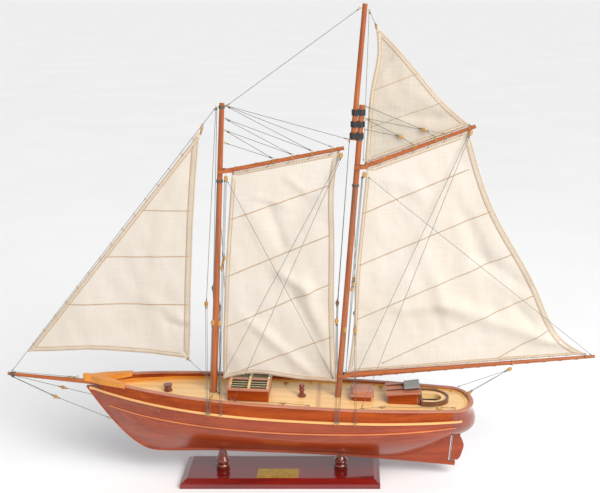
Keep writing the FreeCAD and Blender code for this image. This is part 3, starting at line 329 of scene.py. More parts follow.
def lacquer(name, light, dark, rough, coat=0.0, grain=(300, 300, 300)):
    """Painted or lacquered surface with faint mottling and worn spots."""
    s = Shader(name, Coat_Weight=coat, Coat_Roughness=0.04)
    mottle = s.noise(grain, 5.0)
    s.colour(s.ramp(mottle, (0.3, rgb(dark)), (0.7, rgb(light))))
    s.roughness(mottle, rough * 0.85, rough * 1.2)
    s.bump(mottle, 0.12, 0.05)
    return s.material


SPAR_LOOK = dict(rough=0.3, coat=0.25, figure=0.35, specular=0.3)
MATERIALS = {
    "hull_wood": wood("varnished_mahogany", (172, 74, 32), (124, 42, 14), rough=0.3, coat=0.45,
                      coat_rough=0.06, specular=0.3),
    "bulwark_wood": wood("bright_mahogany", (176, 78, 20), (114, 36, 8), figure=0.65, coat=0.1,
                         specular=0.12),
    "rail_wood": wood("pink_mahogany", (196, 128, 98), (158, 90, 64), coat=0.5),
    "pale_wood": wood("pale_maple", (253, 212, 148), (240, 188, 120), rough=0.3, coat_rough=0.15, pores=0.12,
                      planks=("Y", 6.4, (190, 140, 88)), joint=40.0),
    "golden_wood": wood("golden_maple", (226, 150, 58), (196, 114, 30), pores=0.15, specular=0.3),
    "dark_wood": wood("dark_walnut", (116, 66, 38), (66, 32, 18), rough=0.3, coat=0.5),
    "inner_wood": wood("plywood", (206, 172, 128), (180, 140, 96), coat=0.0, rough=0.7),
    "spar_wood": wood("varnished_spar", (184, 101, 50), (130, 63, 28), along="z", **SPAR_LOOK),
    "black_band": lacquer("black_leather", (46, 44, 44), (22, 20, 20), rough=0.6, grain=(900, 900, 900)),
    "hatch_grey": wood("grey_painted_wood", (150, 146, 142), (112, 108, 106), coat=0.2, pores=0.5),
    "pane_glass": lacquer("black_pane", (14, 14, 15), (6, 6, 7), rough=0.3, coat=0.1),
    "brass": metal("satin_brass", (214, 172, 92), (150, 108, 48), rough=0.32),
    "steel": metal("bright_steel", (200, 200, 202), (150, 150, 154), rough=0.25),
    "base_gloss": wood("cherry_lacquer", (128, 15, 10), (86, 7, 5), rough=0.2, coat=1.0, coat_rough=0.03,
                       pores=0.1, figure=0.6),
    "cordage": thread("grey_rigging", (112, 112, 106), (72, 74, 68)),
    "sailcloth": cloth("sail_cotton", (206, 198, 188), (198, 188, 176)),
}
SPAR_ALONG = wood("varnished_boom", (184, 101, 50), (130, 63, 28), **SPAR_LOOK)
LEG_WOOD = wood("turned_cherry", (132, 48, 18), (84, 22, 9), along="z", rough=0.2, coat=1.0, coat_rough=0.04,
                figure=0.6)
# Hems and seams: the sail cotton in a darker tan, as painted shade where the doubled cloth lets less light
# through; the cloth itself is the same.
DOUBLED_CLOTH_SHADED = cloth("hem_cotton_painted_shade", (197, 186, 170), (186, 172, 152))
# The topsail's cotton is the same cloth made darker, as painted shade for the dimmer light that falls on the
# topsail.
SHADED_TOP_CLOTH = cloth("topsail_cotton_painted_shade", (192, 183, 170), (182, 171, 156))
STITCH = thread("tan_stitching", (184, 126, 68), (148, 92, 44))
LACING = thread("tan_lacing", (206, 160, 96), (160, 112, 58))
BLOCK_WOOD = wood("boxwood_block", (196, 152, 76), (142, 100, 42), along="z", pores=0.3)
WATERWAY = wood("waterway_maple", (240, 188, 112), (222, 160, 84), pores=0.1, coat=0.45, rough=0.3)
OWN_MATERIALS = {
    "stern_block": wood("dark_mahogany", (150, 62, 28), (96, 30, 12), rough=0.24, coat=0.8, coat_rough=0.05),
    "skylight_bars": metal("pale_brass", (222, 206, 160), (190, 168, 112), rough=0.4, metallic=0.4),
    "name_plate": metal("engraving_brass", (216, 180, 92), (196, 158, 74), rough=0.42, metallic=0.8),
    "lower_strips": wood("salmon_maple", (226, 136, 76), (200, 108, 54), pores=0.1, coat=0.4),
    "wales": wood("straw_maple", (238, 184, 114), (218, 156, 88), pores=0.1, coat=0.4),
    # The cockpit's floor takes the black material as painted shade for the dark bottom of a deep well.
    "cockpit_sole": MATERIALS["black_band"],
}
OWN_MATERIALS.update(dict.fromkeys(("main_boom", "main_gaff", "fore_gaff", "bowsprit"), SPAR_ALONG))
OWN_MATERIALS.update(dict.fromkeys(("pedestal_fore", "pedestal_aft", "capstan", "bollard"), LEG_WOOD))

for part in frame["record"]["subparts"]:
    materials = frame["nodes"][part["node"]].data.materials
    materials.clear()
    materials.append(OWN_MATERIALS.get(part["node"], MATERIALS[part["material_slot"]]))


# -------------------- mesh helpers
STRAND_DEPTH = 0.16       # how deep the grooves between strands are, as a part of the radius
LINE_STEP = 0.75


def add_object(name, data):
    made = bpy.data.objects.new(name, data)
    bpy.context.scene.collection.objects.link(made)
    return made


class Shape:
    """Vertices in millimetres and faces of one piece."""

    def __init__(self):
        self.verts = []
        self.faces = []

    def add(self, verts, faces):
        base = len(self.verts)
        self.verts.extend(tuple(v) for v in verts)
        self.faces.extend(tuple(base + i for i in face) for face in faces)

    def piece(self, name, material, body, slot, smooth=True, between=None):
        """Make the object. It rides on its body, or, when between is given, stays unparented where it was
        made.
        """
        mesh = bpy.data.meshes.new(name)
        mesh.from_pydata((np.array(self.verts, float) * MM).tolist(), [], self.faces)
        mesh.materials.append(material)
        mesh.validate()
        mesh.polygons.foreach_set("use_smooth", [smooth] * len(mesh.polygons))
        made = add_object(name, mesh)
        if between:
            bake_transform(made)
        else:
            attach(made, body)
        return made


def tube_faces(rings, sides):
    """Quads of a tube, with its two ends closed."""
    faces = []
    for i in range(rings - 1):
        for j in range(sides):
            k = (j + 1) % sides
            faces.append((i * sides + j, i * sides + k, (i + 1) * sides + k, (i + 1) * sides + j))
    faces.append(tuple(reversed(range(sides))))
    faces.append(tuple((rings - 1) * sides + j for j in range(sides)))
    return faces


def run_length(points):
    """Distance from the first point to each point, along the line."""
    return np.concatenate(([0.0], np.cumsum(np.linalg.norm(np.diff(points, axis=0), axis=1))))


def sweep(points, radius, sides, pitch=0.0):
    """Tube along points; with a pitch its section is a twisted three-strand rope's."""
    p = np.array([tuple(v) for v in points], float)
    step = np.gradient(p, axis=0)
    step /= np.linalg.norm(step, axis=1)[:, None] + 1e-12
    side = np.empty_like(p)
    last = np.array((0.0, 1.0, 0.0)) if abs(step[0][1]) < 0.8 else np.array((1.0, 0.0, 0.0))
    for i, t in enumerate(step):
        last = last - t * np.dot(last, t)
        last /= np.linalg.norm(last)
        side[i] = last
    up = np.cross(step, side)
    along = run_length(p)
    turn = 2 * np.pi * np.arange(sides) / sides
    spin = (2 * np.pi * along / pitch if pitch else 0 * along)[:, None] + turn[None, :]
    size = radius * (1 - STRAND_DEPTH + STRAND_DEPTH * np.cos(3 * turn)) if pitch else radius * np.ones(sides)
    ring = p[:, None, :] + (size * np.cos(spin))[:, :, None] * side[:, None, :]
    ring = ring + (size * np.sin(spin))[:, :, None] * up[:, None, :]
    return ring.reshape(-1, 3).tolist(), tube_faces(len(p), sides)


def wind(shape, points, radius, twist=1.8):
    """Fine twisted thread along points."""
    shape.add(*sweep(points, radius, 8, twist))


def circle(centre, across, up, count=33):
    """Closed ring of points round centre, from its two half axes."""
    return [centre + across * math.cos(a) + up * math.sin(a) for a in np.linspace(0, 2 * math.pi, count)]


def straight(a, b):
    count = max(2, int((b - a).length / LINE_STEP) + 1)
    return [a.lerp(b, i / (count - 1)) for i in range(count)]


def spline(points, count):
    """Natural cubic curve through points, as count points."""
    p = np.array([tuple(q) for q in points], float)
    if len(p) == 2:
        return np.array([p[0] + (p[1] - p[0]) * i / (count - 1) for i in range(count)])
    t = run_length(p)
    n = len(p)
    h = np.diff(t)
    a = np.eye(n)
    b = np.zeros_like(p)
    for i in range(1, n - 1):
        a[i, i - 1:i + 2] = (h[i - 1], 2 * (h[i - 1] + h[i]), h[i])
        b[i] = 6 * ((p[i + 1] - p[i]) / h[i] - (p[i] - p[i - 1]) / h[i - 1])
    m = np.linalg.solve(a, b)
    out = []
    for s in np.linspace(0, t[-1], count):
        i = min(n - 2, max(0, int(np.searchsorted(t, s)) - 1))
        x0, x1 = t[i + 1] - s, s - t[i]
        out.append((m[i] * x0 ** 3 + m[i + 1] * x1 ** 3) / (6 * h[i])
                   + (p[i] / h[i] - m[i] * h[i] / 6) * x0 + (p[i + 1] / h[i] - m[i + 1] * h[i] / 6) * x1)
    return np.array(out)


# -------------------- rigging
SHROUD_FEET = {"fore": (-71.8, -57.6), "main": (58.3, 78.5)}
FORE_TOP, FORE_LOW = V((-57.4, 0, 393.8)), V((-58.4, 0, 320.5))
MAIN_TOP, MAIN_LOW = V((72.4, 0, 362.4)), V((77.6, 0, 316.0))
BOB_BLOCK, STEM_EYE = V((-236.8, 0, 90.2)), V((-180.6, 0, 65.6))
FORE_EYES = (394.8, 382.1, 370.8, 358.5)
MAIN_EYES = (393.8, 382.1, 371.8)
TOPSAIL_EYE = 485.6
FORE_GAFF_EYES = (55.2, 35.4, 16.1, -3.2)
MAIN_GAFF_EYES = (135.9, 157.4, 167.0)
HIGH_BLOCK, LOW_BLOCK = V((145.1, 0, 371.4)), V((122.6, 0, 364.6))
STAY_HEAD = V((-57.6, 0, 393.8))
SMALL_BLOCK = (4.2, 2.6, 2.0)
WHIPPING_SECTION = ((-0.24, 1.15), (-0.1, 1.75), (0.1, 1.75), (0.24, 1.15))     # place along, growth
WHIPPING_TURNS, FIRST_TURN, TURN_STEP = 5, 0.7, 0.42
LINE_TWIST = 3.4


def wale_eye(x, side):
    return V((x, side * (half_beam(x) + 3.4), sheer(x) - 15.0))


def hull_eye(side):
    x = -121.7
    return V((x, side * (half_beam(x) + 2.4), sheer(x) - 18.0))


def after_eye(mast, z):
    return spar_x(mast, z) + V((mast[3] + 2.0, 0, 0))


def on_gaff(ends, x):
    return spar_z(ends, x, 3.3)


def run(shape, a, b, radius, trim_a=0.4, trim_b=0.4):
    """Taut twisted line between two fittings, with a whipping of fine turns at each end."""
    along = (b - a).normalized()
    start, end = a + along * trim_a, b - along * trim_b
    shape.add(*sweep(straight(start, end), radius, 9, LINE_TWIST))
    for at, way in ((start, 1), (end, -1)):
        for k in range(WHIPPING_TURNS):
            middle = at + along * way * (FIRST_TURN + TURN_STEP * k)
            verts = []
            for place, grow in WHIPPING_SECTION:
                p = middle + along * place
                ring, _ = sweep([p, p + along * 0.001], radius * grow, 8)
                verts.extend(ring[:8])
            shape.add(verts, tube_faces(4, 8))


def cords(shape, name, body="root", stands_for=None, between=None):
    """Finish a piece of rigging, which may take the place of a CAD part."""
    made = shape.piece(name, MATERIALS["cordage"], body, "cordage", between=between)
    if stands_for:
        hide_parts(stands_for)


def pulley(wood_shape, strop_shape, at, along, length=5.2, wide=3.6, thick=2.5):
    """Oval block with a score round its edge, a sheave hole and a rope strop in the score."""
    along = V(along).normalized()
    side = V((0, 1, 0)) if abs(along.y) < 0.8 else V((1, 0, 0))
    side = (side - along * side.dot(along)).normalized()
    out = along.cross(side)
    sides, rings = 16, 13
    verts = []
    for i in range(rings):
        s = -1 + 2 * i / (rings - 1)
        size = max(0.12, math.sqrt(max(0.0, 1 - abs(s) ** 2.4)))
        for j in range(sides):
            a = 2 * math.pi * j / sides
            c, d = math.cos(a), math.sin(a)
            u = math.copysign(abs(c) ** 0.75, c) * wide / 2 * size
            w = math.copysign(abs(d) ** 0.6, d) * thick / 2 * (0.55 + 0.45 * size)
            if abs(c) > 0.9:
                u *= 0.86
            if abs(d) > 0.85 and abs(s) < 0.35:
                w *= 0.72
            verts.append(at + along * (s * length / 2) + out * u + side * w)
    wood_shape.add(verts, tube_faces(rings, sides))
    wind(strop_shape, circle(at, along * (length / 2 + 0.25), out * (wide / 2 - 0.05)), 0.34, 1.6)


root_blocks, root_strops = Shape(), Shape()


def around_spar(shape, middle, radius, thick, count=33):
    """One turn of thread round a boom, gaff or bowsprit."""
    wind(shape, circle(middle, V((0, radius, 0)), V((0, 0, radius)), count), thick)


def shrouds(mast, ends, top, low):
    """Standing rigging of one mast on both sides."""
    lines = Shape()
    forward, after = SHROUD_FEET[mast]
    for side in (PORT, STARBOARD):
        for start, x, fraction, shift in ((top, forward, 0.63, -4.0), (low, forward + 2.6, 0.60, 0.0),
                                          (low, after, 0.60, 0.0)):
            foot = wale_eye(x, side)
            at = start + (foot - start) * fraction + V((shift, 0, 0))
            head = V((start.x, 3.7 * side, start.z))
            run(lines, head, at, HEAVY, 0.6, 2.8)
            for offset in (-0.7, 0.7):
                aside = V((offset, 0, 0))
                run(lines, at + aside, foot + aside, LIGHT, 2.4, 1.3)
            pulley(root_blocks, root_strops, at, foot - head)
    (_, z0), (_, z1), r0, r1 = ends
    for z in (top.z, low.z):
        radius = r0 + (r1 - r0) * (z - z0) / (z1 - z0) + 0.35
        for k in range(4):
            middle = spar_x(ends, z) + V((0, 0, 0.75 * (k - 1.5)))
            wind(lines, circle(middle, V((radius, 0, 0)), V((0, radius, 0))), 0.36)
    cords(lines, mast + "_shroud_lines", stands_for=mast + "_shrouds")


def bow_rigging():
    lines = Shape()
    tip = spar_z(BOWSPRIT, -281.5)
    under = tip - V((0, 0, 2.4))
    run(lines, BOB_BLOCK, STEM_EYE, HEAVY, 2.9, 1.3)
    for aside in (-0.6, 0.6):
        run(lines, under + V((0, aside, 0)), BOB_BLOCK + V((0, aside, 0)), LIGHT, 0.6, 2.6)
    pulley(root_blocks, root_strops, BOB_BLOCK, STEM_EYE - under)
    for side in (PORT, STARBOARD):
        foot = hull_eye(side)
        start = tip + V((0, side * 2.3, 0))
        at = start + (foot - start) * 0.36
        run(lines, start, at, HEAVY, 0.5, 2.7)
        run(lines, at, foot, HEAVY, 2.7, 1.3)
        pulley(root_blocks, root_strops, at, foot - start)
    run(lines, spar_z(BOWSPRIT, -279.0, 2.5), spar_z(BOWSPRIT, -213.0, 4.0), LIGHT)
    for k in range(6):
        at = spar_z(BOWSPRIT, tip.x + 0.8 * k)
        around_spar(lines, at, spar_radius(BOWSPRIT, at.x) + 0.3, 0.36)
    cords(lines, "bowsprit_lines", stands_for="bowsprit_rigging")


def stay_lines():
    lines = Shape()
    first = after_eye(FOREMAST, FORE_EYES[0])
    run(lines, spar_z(BOWSPRIT, -280.5, 2.6), STAY_HEAD, HEAVY, 0.3, 1.2)
    run(lines, first, V((82.6, 0, 487.7)), HEAVY, 1.2, 1.2)
    run(lines, first + V((-2.0, 2.8, 0.4)), V((70.4, 0, 362.4)), HEAVY, 0.0, 1.2)
    run(lines, after_eye(TOPMAST, TOPSAIL_EYE) - V((0, 0.7, 0)), V((86.0, -4.4, 341.0)), LIGHT, 1.2, 0.0)
    cords(lines, "stay_lines", stands_for="stays")


def deck_line_runs():
    """The jib's sheet along the port side, and the main rig's tackle falls abaft it."""
    lines = Shape()
    cleats = [on_deck(x, aside - CLEAT_Y, 2.4) for x, aside in zip(CLEAT_X, (-1.4, -1.4, 1.4))]
    eyes = [on_deck(x, -y, 2.0) for x, y in DECK_EYES[2:]]
    jib_sheet = [V((-95.4, -0.8, 132.6)), on_deck(-47.0, -29.7, 3.0), cleats[0], eyes[0]]
    for points in (jib_sheet, [eyes[1], cleats[1], cleats[2], eyes[2]]):
        for a, b in zip(points[:-1], points[1:]):
            run(lines, a, b, LIGHT, 0.9, 0.9)
    cords(lines, "deck_line_runs", stands_for="deck_lines")


def ring_on_gaff(shape, ends, x):
    """Seizing that holds a halyard's eye on top of a gaff."""
    at = spar_z(ends, x)
    radius = spar_radius(ends, x) + 0.3
    for k in range(3):
        around_spar(shape, at + V((0.75 * (k - 1), 0, 0)), radius, 0.34, 25)
    wind(shape, circle(at + V((0, 0, radius + 0.9)), V((1.1, 0, 0)), V((0, 0, 1.1)), 21), 0.3, 1.4)


def fore_gaff_lines():
    """Halyards, lift and vangs of the fore gaff, and the falls abaft the foremast."""
    blocks, strops = Shape(), Shape()
    peak, throat = V((64.0, LIFT_SIDE, 346.6)), V((-49.6, LIFT_SIDE - 1.2, 324.0))
    lines = Shape()
    for i, z in enumerate(FORE_EYES):
        top = after_eye(FOREMAST, z) + V((0.8, 0, 0))
        for x, drop in zip(FORE_GAFF_EYES[i:i + 2], (-0.3, -0.9)):
            run(lines, top + V((0, 0, drop)), on_gaff(FORE_GAFF, x), HEAVY, 0.4, 1.1)
    cords(lines, "fore_halyard_lines", "fore_rig", "fore_halyards", (V((-54, 0, 360)), V((-38, 0, 360))))
    lines = Shape()
    run(lines, throat, V((56.0, LIFT_SIDE, 111.0)), LIGHT, 2.7, 0.5)
    cords(lines, "fore_throat_line", "fore_rig")
    pulley(blocks, strops, peak, (0.3, 0, 1))
    pulley(blocks, strops, throat, (0, 0, 1))
    for x in FORE_GAFF_EYES:
        ring_on_gaff(strops, FORE_GAFF, x)
    falls = Shape()
    for k in range(3):
        top, bend, foot = [spar_x(FOREMAST, z) + V((off + 0.9 * k, 1.2 * (k - 1), 0))
                           for z, off in ((322.0, 4.9), (236.0 + 5.0 * (k - 1), 4.9), (102.0, 5.4))]
        run(falls, top, bend, LIGHT, 0.0, 1.4)
        run(falls, bend, on_deck(foot.x, -6.4 - 0.8 * k, 0.3), LIGHT, 1.4, 0.0)
        pulley(root_blocks, root_strops, bend, V((0.05, 0, 1)), *SMALL_BLOCK)
    cords(falls, "fore_throat_falls")
    made = blocks.piece("fore_gaff_blocks", BLOCK_WOOD, "fore_rig", "brass")
    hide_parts("fore_gaff_fittings")
    strops.piece("fore_gaff_strops", LACING, "fore_rig", "cordage")
    lines = Shape()
    for start, (x, y) in zip((peak, peak + V((1.2, 0, 0))), DECK_EYES[:2]):
        run(lines, start, on_deck(x, -y, 1.5), LIGHT, 2.7, 1.3)
    cords(lines, "fore_vang_lines", "fore_rig", "fore_vangs", (V((0, -22, 92)), V((64, LIFT_SIDE, 344))))


def main_gaff_lines():
    """Halyards, lift, falls, vangs and sheet of the main rig, and the topsail's head line."""
    blocks, strops = Shape(), Shape()
    peak, throat = V((191.0, LIFT_SIDE, 369.2)), V((87.0, LIFT_SIDE - 1.2, 327.6))
    tops = [after_eye(LOWER_MAST, z) + V((0.8, 0, 0)) for z in MAIN_EYES]
    a, b, c = [on_gaff(MAIN_GAFF, x) for x in MAIN_GAFF_EYES]
    boom_end = spar_z(MAIN_BOOM, 323.6, 2.6)
    lines = Shape()
    for start, end in ((tops[0], HIGH_BLOCK), (tops[1] + V((0, 0, 0.5)), HIGH_BLOCK),
                       (tops[1] - V((0, 0, 0.6)), LOW_BLOCK), (tops[2], LOW_BLOCK)):
        run(lines, start, end, HEAVY, 0.4, 2.7)
    for start, end in ((HIGH_BLOCK, b), (HIGH_BLOCK, c), (LOW_BLOCK, a)):
        run(lines, start, end, LIGHT, 2.7, 1.1)
    cords(lines, "main_halyard_lines", "main_rig", "main_halyards", (V((88, 0, 370)), V((104, 0, 370))))
    lines = Shape()
    run(lines, throat + V((1.6, -2.2, 0)), boom_end + V((0, -3.4, 0)), LIGHT, 2.7, 0.6)
    for k in range(3):
        aside = V((1.1 * k, 1.3 * (k - 1), 0))
        bend = V((74.7, 0, 213.5)) + aside
        run(lines, V((84.6, 0.4 * (k - 1), 325.4)) + aside * 0.6, bend, LIGHT, 0.0, 1.4)
        run(lines, bend, V((68.7, 0.9 * (k - 1), 117.6 + 0.3 * k)), LIGHT, 1.4, 0.0)
        pulley(blocks, strops, bend + V((0, 0, 5.0 * (k - 1))), V((0.08, 0, 1)), *SMALL_BLOCK)
    cords(lines, "main_throat_line", "main_rig")
    eye, head = after_eye(TOPMAST, TOPSAIL_EYE) + V((0, 0.5, 0)), V((97.9, TOPSAIL_Y, 471.3))
    lines = Shape()
    run(lines, eye, head, LIGHT, 1.2, 0.3)
    cords(lines, "topsail_head_line", "main_rig", between=(eye, head))
    bail = spar_z(MAIN_BOOM, 241.8)
    upper = bail + V((-2.5, 0, -7.4))
    lower = V((198.6, 4.6, 92.4))
    for at, along in ((HIGH_BLOCK, (1, 0, -0.4)), (LOW_BLOCK, (1, 0, -0.5)), (peak, (0.3, 0, 1)),
                      (throat, (0, 0, 1)), (upper, (1, 0, 0.5))):
        pulley(blocks, strops, at, along)
    for x in MAIN_GAFF_EYES:
        ring_on_gaff(strops, MAIN_GAFF, x)
    around_spar(strops, bail, 3.0, 0.4, 41)
    made = blocks.piece("main_gaff_blocks", BLOCK_WOOD, "main_rig", "brass")
    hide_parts("main_rig_fittings")
    strops.piece("main_gaff_strops", LACING, "main_rig", "cordage")
    pulley(root_blocks, root_strops, lower, (0.8, 0, 0.6))
    x, y = DECK_EYES[3]
    on_rail = V((188.4, 28.6, sheer(188) + 1.2))
    for name, start, foot, trims, stands_for in (
            ("vang_aft", peak, on_deck(x, -y, 1.5), (2.7, 1.3), "main_vangs_and_sheet"),
            ("vang_fore", peak - V((1.2, 0, 0)), V((71.5, -9.0, 100.0)), (2.7, 0.5), None),
            ("sheet_upper", upper, lower, (2.7, 2.7), None),
            ("sheet_lower", upper + V((-0.9, 0.7, -1.0)), lower + V((-0.9, 0.7, 0.6)), (2.4, 2.4), None),
            ("sheet_fall", upper + V((0, 1, -0.8)), on_rail, (2.7, 0.5), None)):
        line = Shape()
        run(line, start, foot, LIGHT, *trims)
        cords(line, "main_" + name, "main_rig", stands_for, (foot, start))


# -------------------- sails
CLOTH_THICK = 0.44
LACED_REACH = 16.0        # how far from a laced edge the cloth is held flat
BELLY_REACH = 55.0


def nearest(flat, line):
    """Distance from each plane point to the nearest point of a line."""
    out = np.empty(len(flat))
    for i in range(0, len(flat), 512):
        gap = flat[i:i + 512, None, :] - line[None, :, :]
        out[i:i + 512] = np.sqrt((gap ** 2).sum(axis=2).min(axis=1))
    return out


def evenly(edge, places):
    """Points of an edge at places from 0 to 1 along it."""
    marks = np.linspace(0, 1, len(edge))
    return np.stack([np.interp(places, marks, edge[:, k]) for k in (0, 1)], 1)


class Sail:
    """One sail: its outline in the (x, z) plane, laced edges, folds, seams and hems."""

    def __init__(self, luff, leech, foot, head, laced, folds, belly, seed, y=0.0):
        self.edges = (luff, leech, foot, head)
        self.sides = [spline(edge, 240) for edge in self.edges]
        self.y = y
        self.laced = laced
        self.folds = folds
        self.belly = belly
        self.seed = seed
        self.border = np.concatenate(self.sides)

    def depth(self, x, z):
        """Sideways place of the cloth's middle at (x, z)."""
        x, z = np.broadcast_arrays(np.asarray(x, float), np.asarray(z, float))
        flat = np.stack((x.ravel(), z.ravel()), axis=1)
        free = np.ones(len(flat))
        for edge in self.laced:
            free *= np.clip(nearest(flat, spline(edge, 60)) / LACED_REACH, 0.0, 1.0) ** 1.3
        total = self.belly * (1 - np.exp(-(nearest(flat, self.border[::3]) / BELLY_REACH) ** 2))
        for x0, z0, x1, z1, width, height in self.folds:
            dx, dz = x1 - x0, z1 - z0
            length = math.hypot(dx, dz)
            s = ((flat[:, 0] - x0) * dx + (flat[:, 1] - z0) * dz) / length ** 2
            off = ((flat[:, 0] - x0) * dz - (flat[:, 1] - z0) * dx) / length
            over = np.clip(np.maximum(-s, s - 1) * length, 0, None)
            ridge = np.exp(-(off / width) ** 2 - (over / (1.6 * width)) ** 2)
            total = total + 1.35 * height * ridge * (1 + 0.35 * off / width)
        fine = np.array([self.unevenness(a, b) for a, b in flat])
        return (self.y + (total + fine) * free).reshape(x.shape)

    def unevenness(self, x, z):
        wide = noise.noise(V((x / 46.0, self.seed, z / 58.0)))
        middle = noise.noise(V((x / 17.0 + z / 60.0, self.seed + 9, z / 34.0)))
        small = noise.noise(V((x / 6.5, self.seed + 4, z / 8.5)))
        return 2.1 * wide + 1.0 * middle + 0.22 * small

    def outline(self):
        """Closed loop along the foot and leech, back along the head and down the luff."""
        luff, leech, foot, head = self.sides
        return np.concatenate((foot, leech, head[::-1], luff[::-1]))

    def area(self):
        x, z = self.outline().T
        return 0.5 * abs(np.dot(x, np.roll(z, -1)) - np.dot(z, np.roll(x, -1)))

    def inside(self, points):
        """Those of the points that lie on the cloth."""
        loop = self.outline()
        after = np.roll(loop, -1, axis=0)
        kept = []
        for x, z in points:
            spans = (loop[:, 1] > z) != (after[:, 1] > z)
            rise = np.where(after[:, 1] == loop[:, 1], 1e-9, after[:, 1] - loop[:, 1])
            cross = loop[:, 0] + (z - loop[:, 1]) * (after[:, 0] - loop[:, 0]) / rise
            if np.count_nonzero(spans & (cross > x)) % 2:
                kept.append((x, z))
        return kept[4:-4]

    def grid(self, columns, rows):
        """Plane points of the cloth, from luff to leech and from foot to head."""
        u, v = np.linspace(0, 1, columns), np.linspace(0, 1, rows)
        luff, leech, foot, head = self.sides
        left, right = evenly(luff, v)[:, None], evenly(leech, v)[:, None]
        bottom, top = evenly(foot, u), evenly(head, u)
        s, t = u[None, :, None], v[:, None, None]
        ruled = (1 - s) * left + s * right + (1 - t) * bottom + t * top
        corners = ((1 - s) * (1 - t) * bottom[0] + s * (1 - t) * bottom[-1]
                   + (1 - s) * t * top[0] + s * t * top[-1])
        return ruled - corners

    def cloth(self, columns, rows):
        flat = self.grid(columns, rows)
        y = self.depth(flat[:, :, 0], flat[:, :, 1])
        verts = [(flat[i, j, 0], y[i, j] + side * CLOTH_THICK, flat[i, j, 1])
                 for side in (-0.5, 0.5) for i in range(rows) for j in range(columns)]
        faces = []
        layer = rows * columns
        for i in range(rows - 1):
            for j in range(columns - 1):
                a, b = i * columns + j, (i + 1) * columns + j
                faces.append((a, a + 1, b + 1, b))
                faces.append((layer + a, layer + b, layer + b + 1, layer + a + 1))
        rim = (list(range(columns)) + [i * columns + columns - 1 for i in range(1, rows)]
               + [(rows - 1) * columns + j for j in range(columns - 2, -1, -1)]
               + [i * columns for i in range(rows - 2, 0, -1)])
        for a, b in zip(rim, rim[1:] + rim[:1]):
            faces.append((a, layer + a, layer + b, b))
        shape = Shape()
        shape.add(verts, faces)
        return shape

    def along(self, points, lift):
        """Points of a line on the cloth's face; lift is how far its middle stands off, with its side."""
        return np.stack((points[:, 0], self.depth(points[:, 0], points[:, 1]) + lift, points[:, 1]), axis=1)

    def strip(self, shape, points, inward, section, narrow=1.0):
        """Closed strip along a line on the cloth; its section is made of (inset, lift) points."""
        columns = [self.along(points + inward * inset * narrow, lift) for inset, lift in section]
        verts = [tuple(column[i]) for i in range(len(points)) for column in columns]
        shape.add(verts, tube_faces(len(points), len(section)))

    def inward(self, edge):
        """Unit vectors in the plane from an edge's points towards the cloth's middle."""
        step = np.gradient(edge, axis=0)
        step /= np.linalg.norm(step, axis=1)[:, None] + 1e-9
        normal = np.stack((-step[:, 1], step[:, 0]), axis=1)
        middle = self.border.mean(axis=0)
        flip = np.sign(((middle - edge[len(edge) // 2]) * normal[len(edge) // 2]).sum())
        return normal * flip

    def hem(self, shape, edge, width):
        """Cloth folded over one edge and showing on both faces."""
        points = spline(edge, 110)
        stand = CLOTH_THICK / 2
        half = ((-0.25, 0.3), (0.5, stand + 0.22), (width - 0.25, stand + 0.2), (width, stand + 0.02))
        section = [(inset, -lift) for inset, lift in reversed(half)] + list(half)
        length = run_length(points)
        to_end = np.minimum(length, length[-1] - length)
        narrow = np.clip(0.25 + to_end / (1.8 * width), 0.0, 1.0)[:, None]
        self.strip(shape, points, self.inward(points), section, narrow)

    def stitches(self, shape, edge, inset):
        """Row of stitches on both faces, along an edge and inside it by inset."""
        dash, gap, lift, dip = 1.5, 1.1, 0.26, 0.16
        points = spline(edge, 400)
        inward = self.inward(points)
        for side in (-1, 1):
            row = self.along(points + inward * inset, side * (CLOTH_THICK / 2 + lift))
            length = run_length(row)
            margin = 3.0 + 1.5 * inset
            place = margin
            while place + dash < length[-1] - margin:
                marks = [place + dash * k / 3 for k in range(4)]
                line = [[np.interp(m, length, row[:, k]) for k in range(3)] for m in marks]
                line[0][1] -= side * dip
                line[-1][1] -= side * dip
                shape.add(*sweep(line, 0.3, 5))
                place += dash + gap

    def seam(self, shape, stitch_shape, a, b):
        """Narrow lapped seam across the cloth with a row of stitching on each face."""
        count = 70
        points = self.inside(spline((a, b), 400))
        points = spline((points[0], points[-1]), count)
        step = (points[-1] - points[0]) / np.linalg.norm(points[-1] - points[0])
        inward = np.tile(np.array((-step[1], step[0])), (count, 1))
        stand = CLOTH_THICK / 2
        half = ((-0.75, stand + 0.01), (-0.5, stand + 0.14), (0.5, stand + 0.14), (0.75, stand + 0.01))
        section = [(-inset, -lift) for inset, lift in half] + list(half)
        self.strip(shape, points, inward, section)
        for side in (-1, 1):
            stitch_shape.add(*sweep(self.along(points, side * (stand + 0.2)), 0.24, 6, 1.6))


def under(ends, x0, x1, above):
    return [(x, spar_z(ends, x).z + above) for x in (x0, x1)]


JIB_LUFF = [(-261.5, 140.8), (-75.0, 368.6)]
FORE_HEAD = under(FORE_GAFF, -44.0, 62.5, -3.1)
MAIN_HEAD = under(MAIN_GAFF, 89.5, 189.5, -3.1)
MAIN_FOOT = under(MAIN_BOOM, 71.0, 317.4, 3.5)
JIB_LEECH = [(-94.1, 133.3), (-88.6, 226.0), (-83.9, 289.0), (-75.0, 368.6)]
JIB_FOOT = [(-261.5, 140.8), (-175.4, 141.6), (-94.1, 133.3)]
FORE_LUFF = [(-59.8, 110.2), (-56.9, 176.0), (-50.4, 264.0), FORE_HEAD[0]]
FORE_LEECH = [(59.0, 107.8), (57.0, 158.0), (56.6, 212.0), (57.2, 268.0), (57.6, 318.0), FORE_HEAD[1]]
FORE_FOOT = [(-59.8, 110.2), (-31.0, 116.4), (10.0, 111.4), (59.0, 107.8)]
MAIN_LUFF = [MAIN_FOOT[0], (77.2, 176.0), (78.7, 212.0), (83.0, 266.0), MAIN_HEAD[0]]
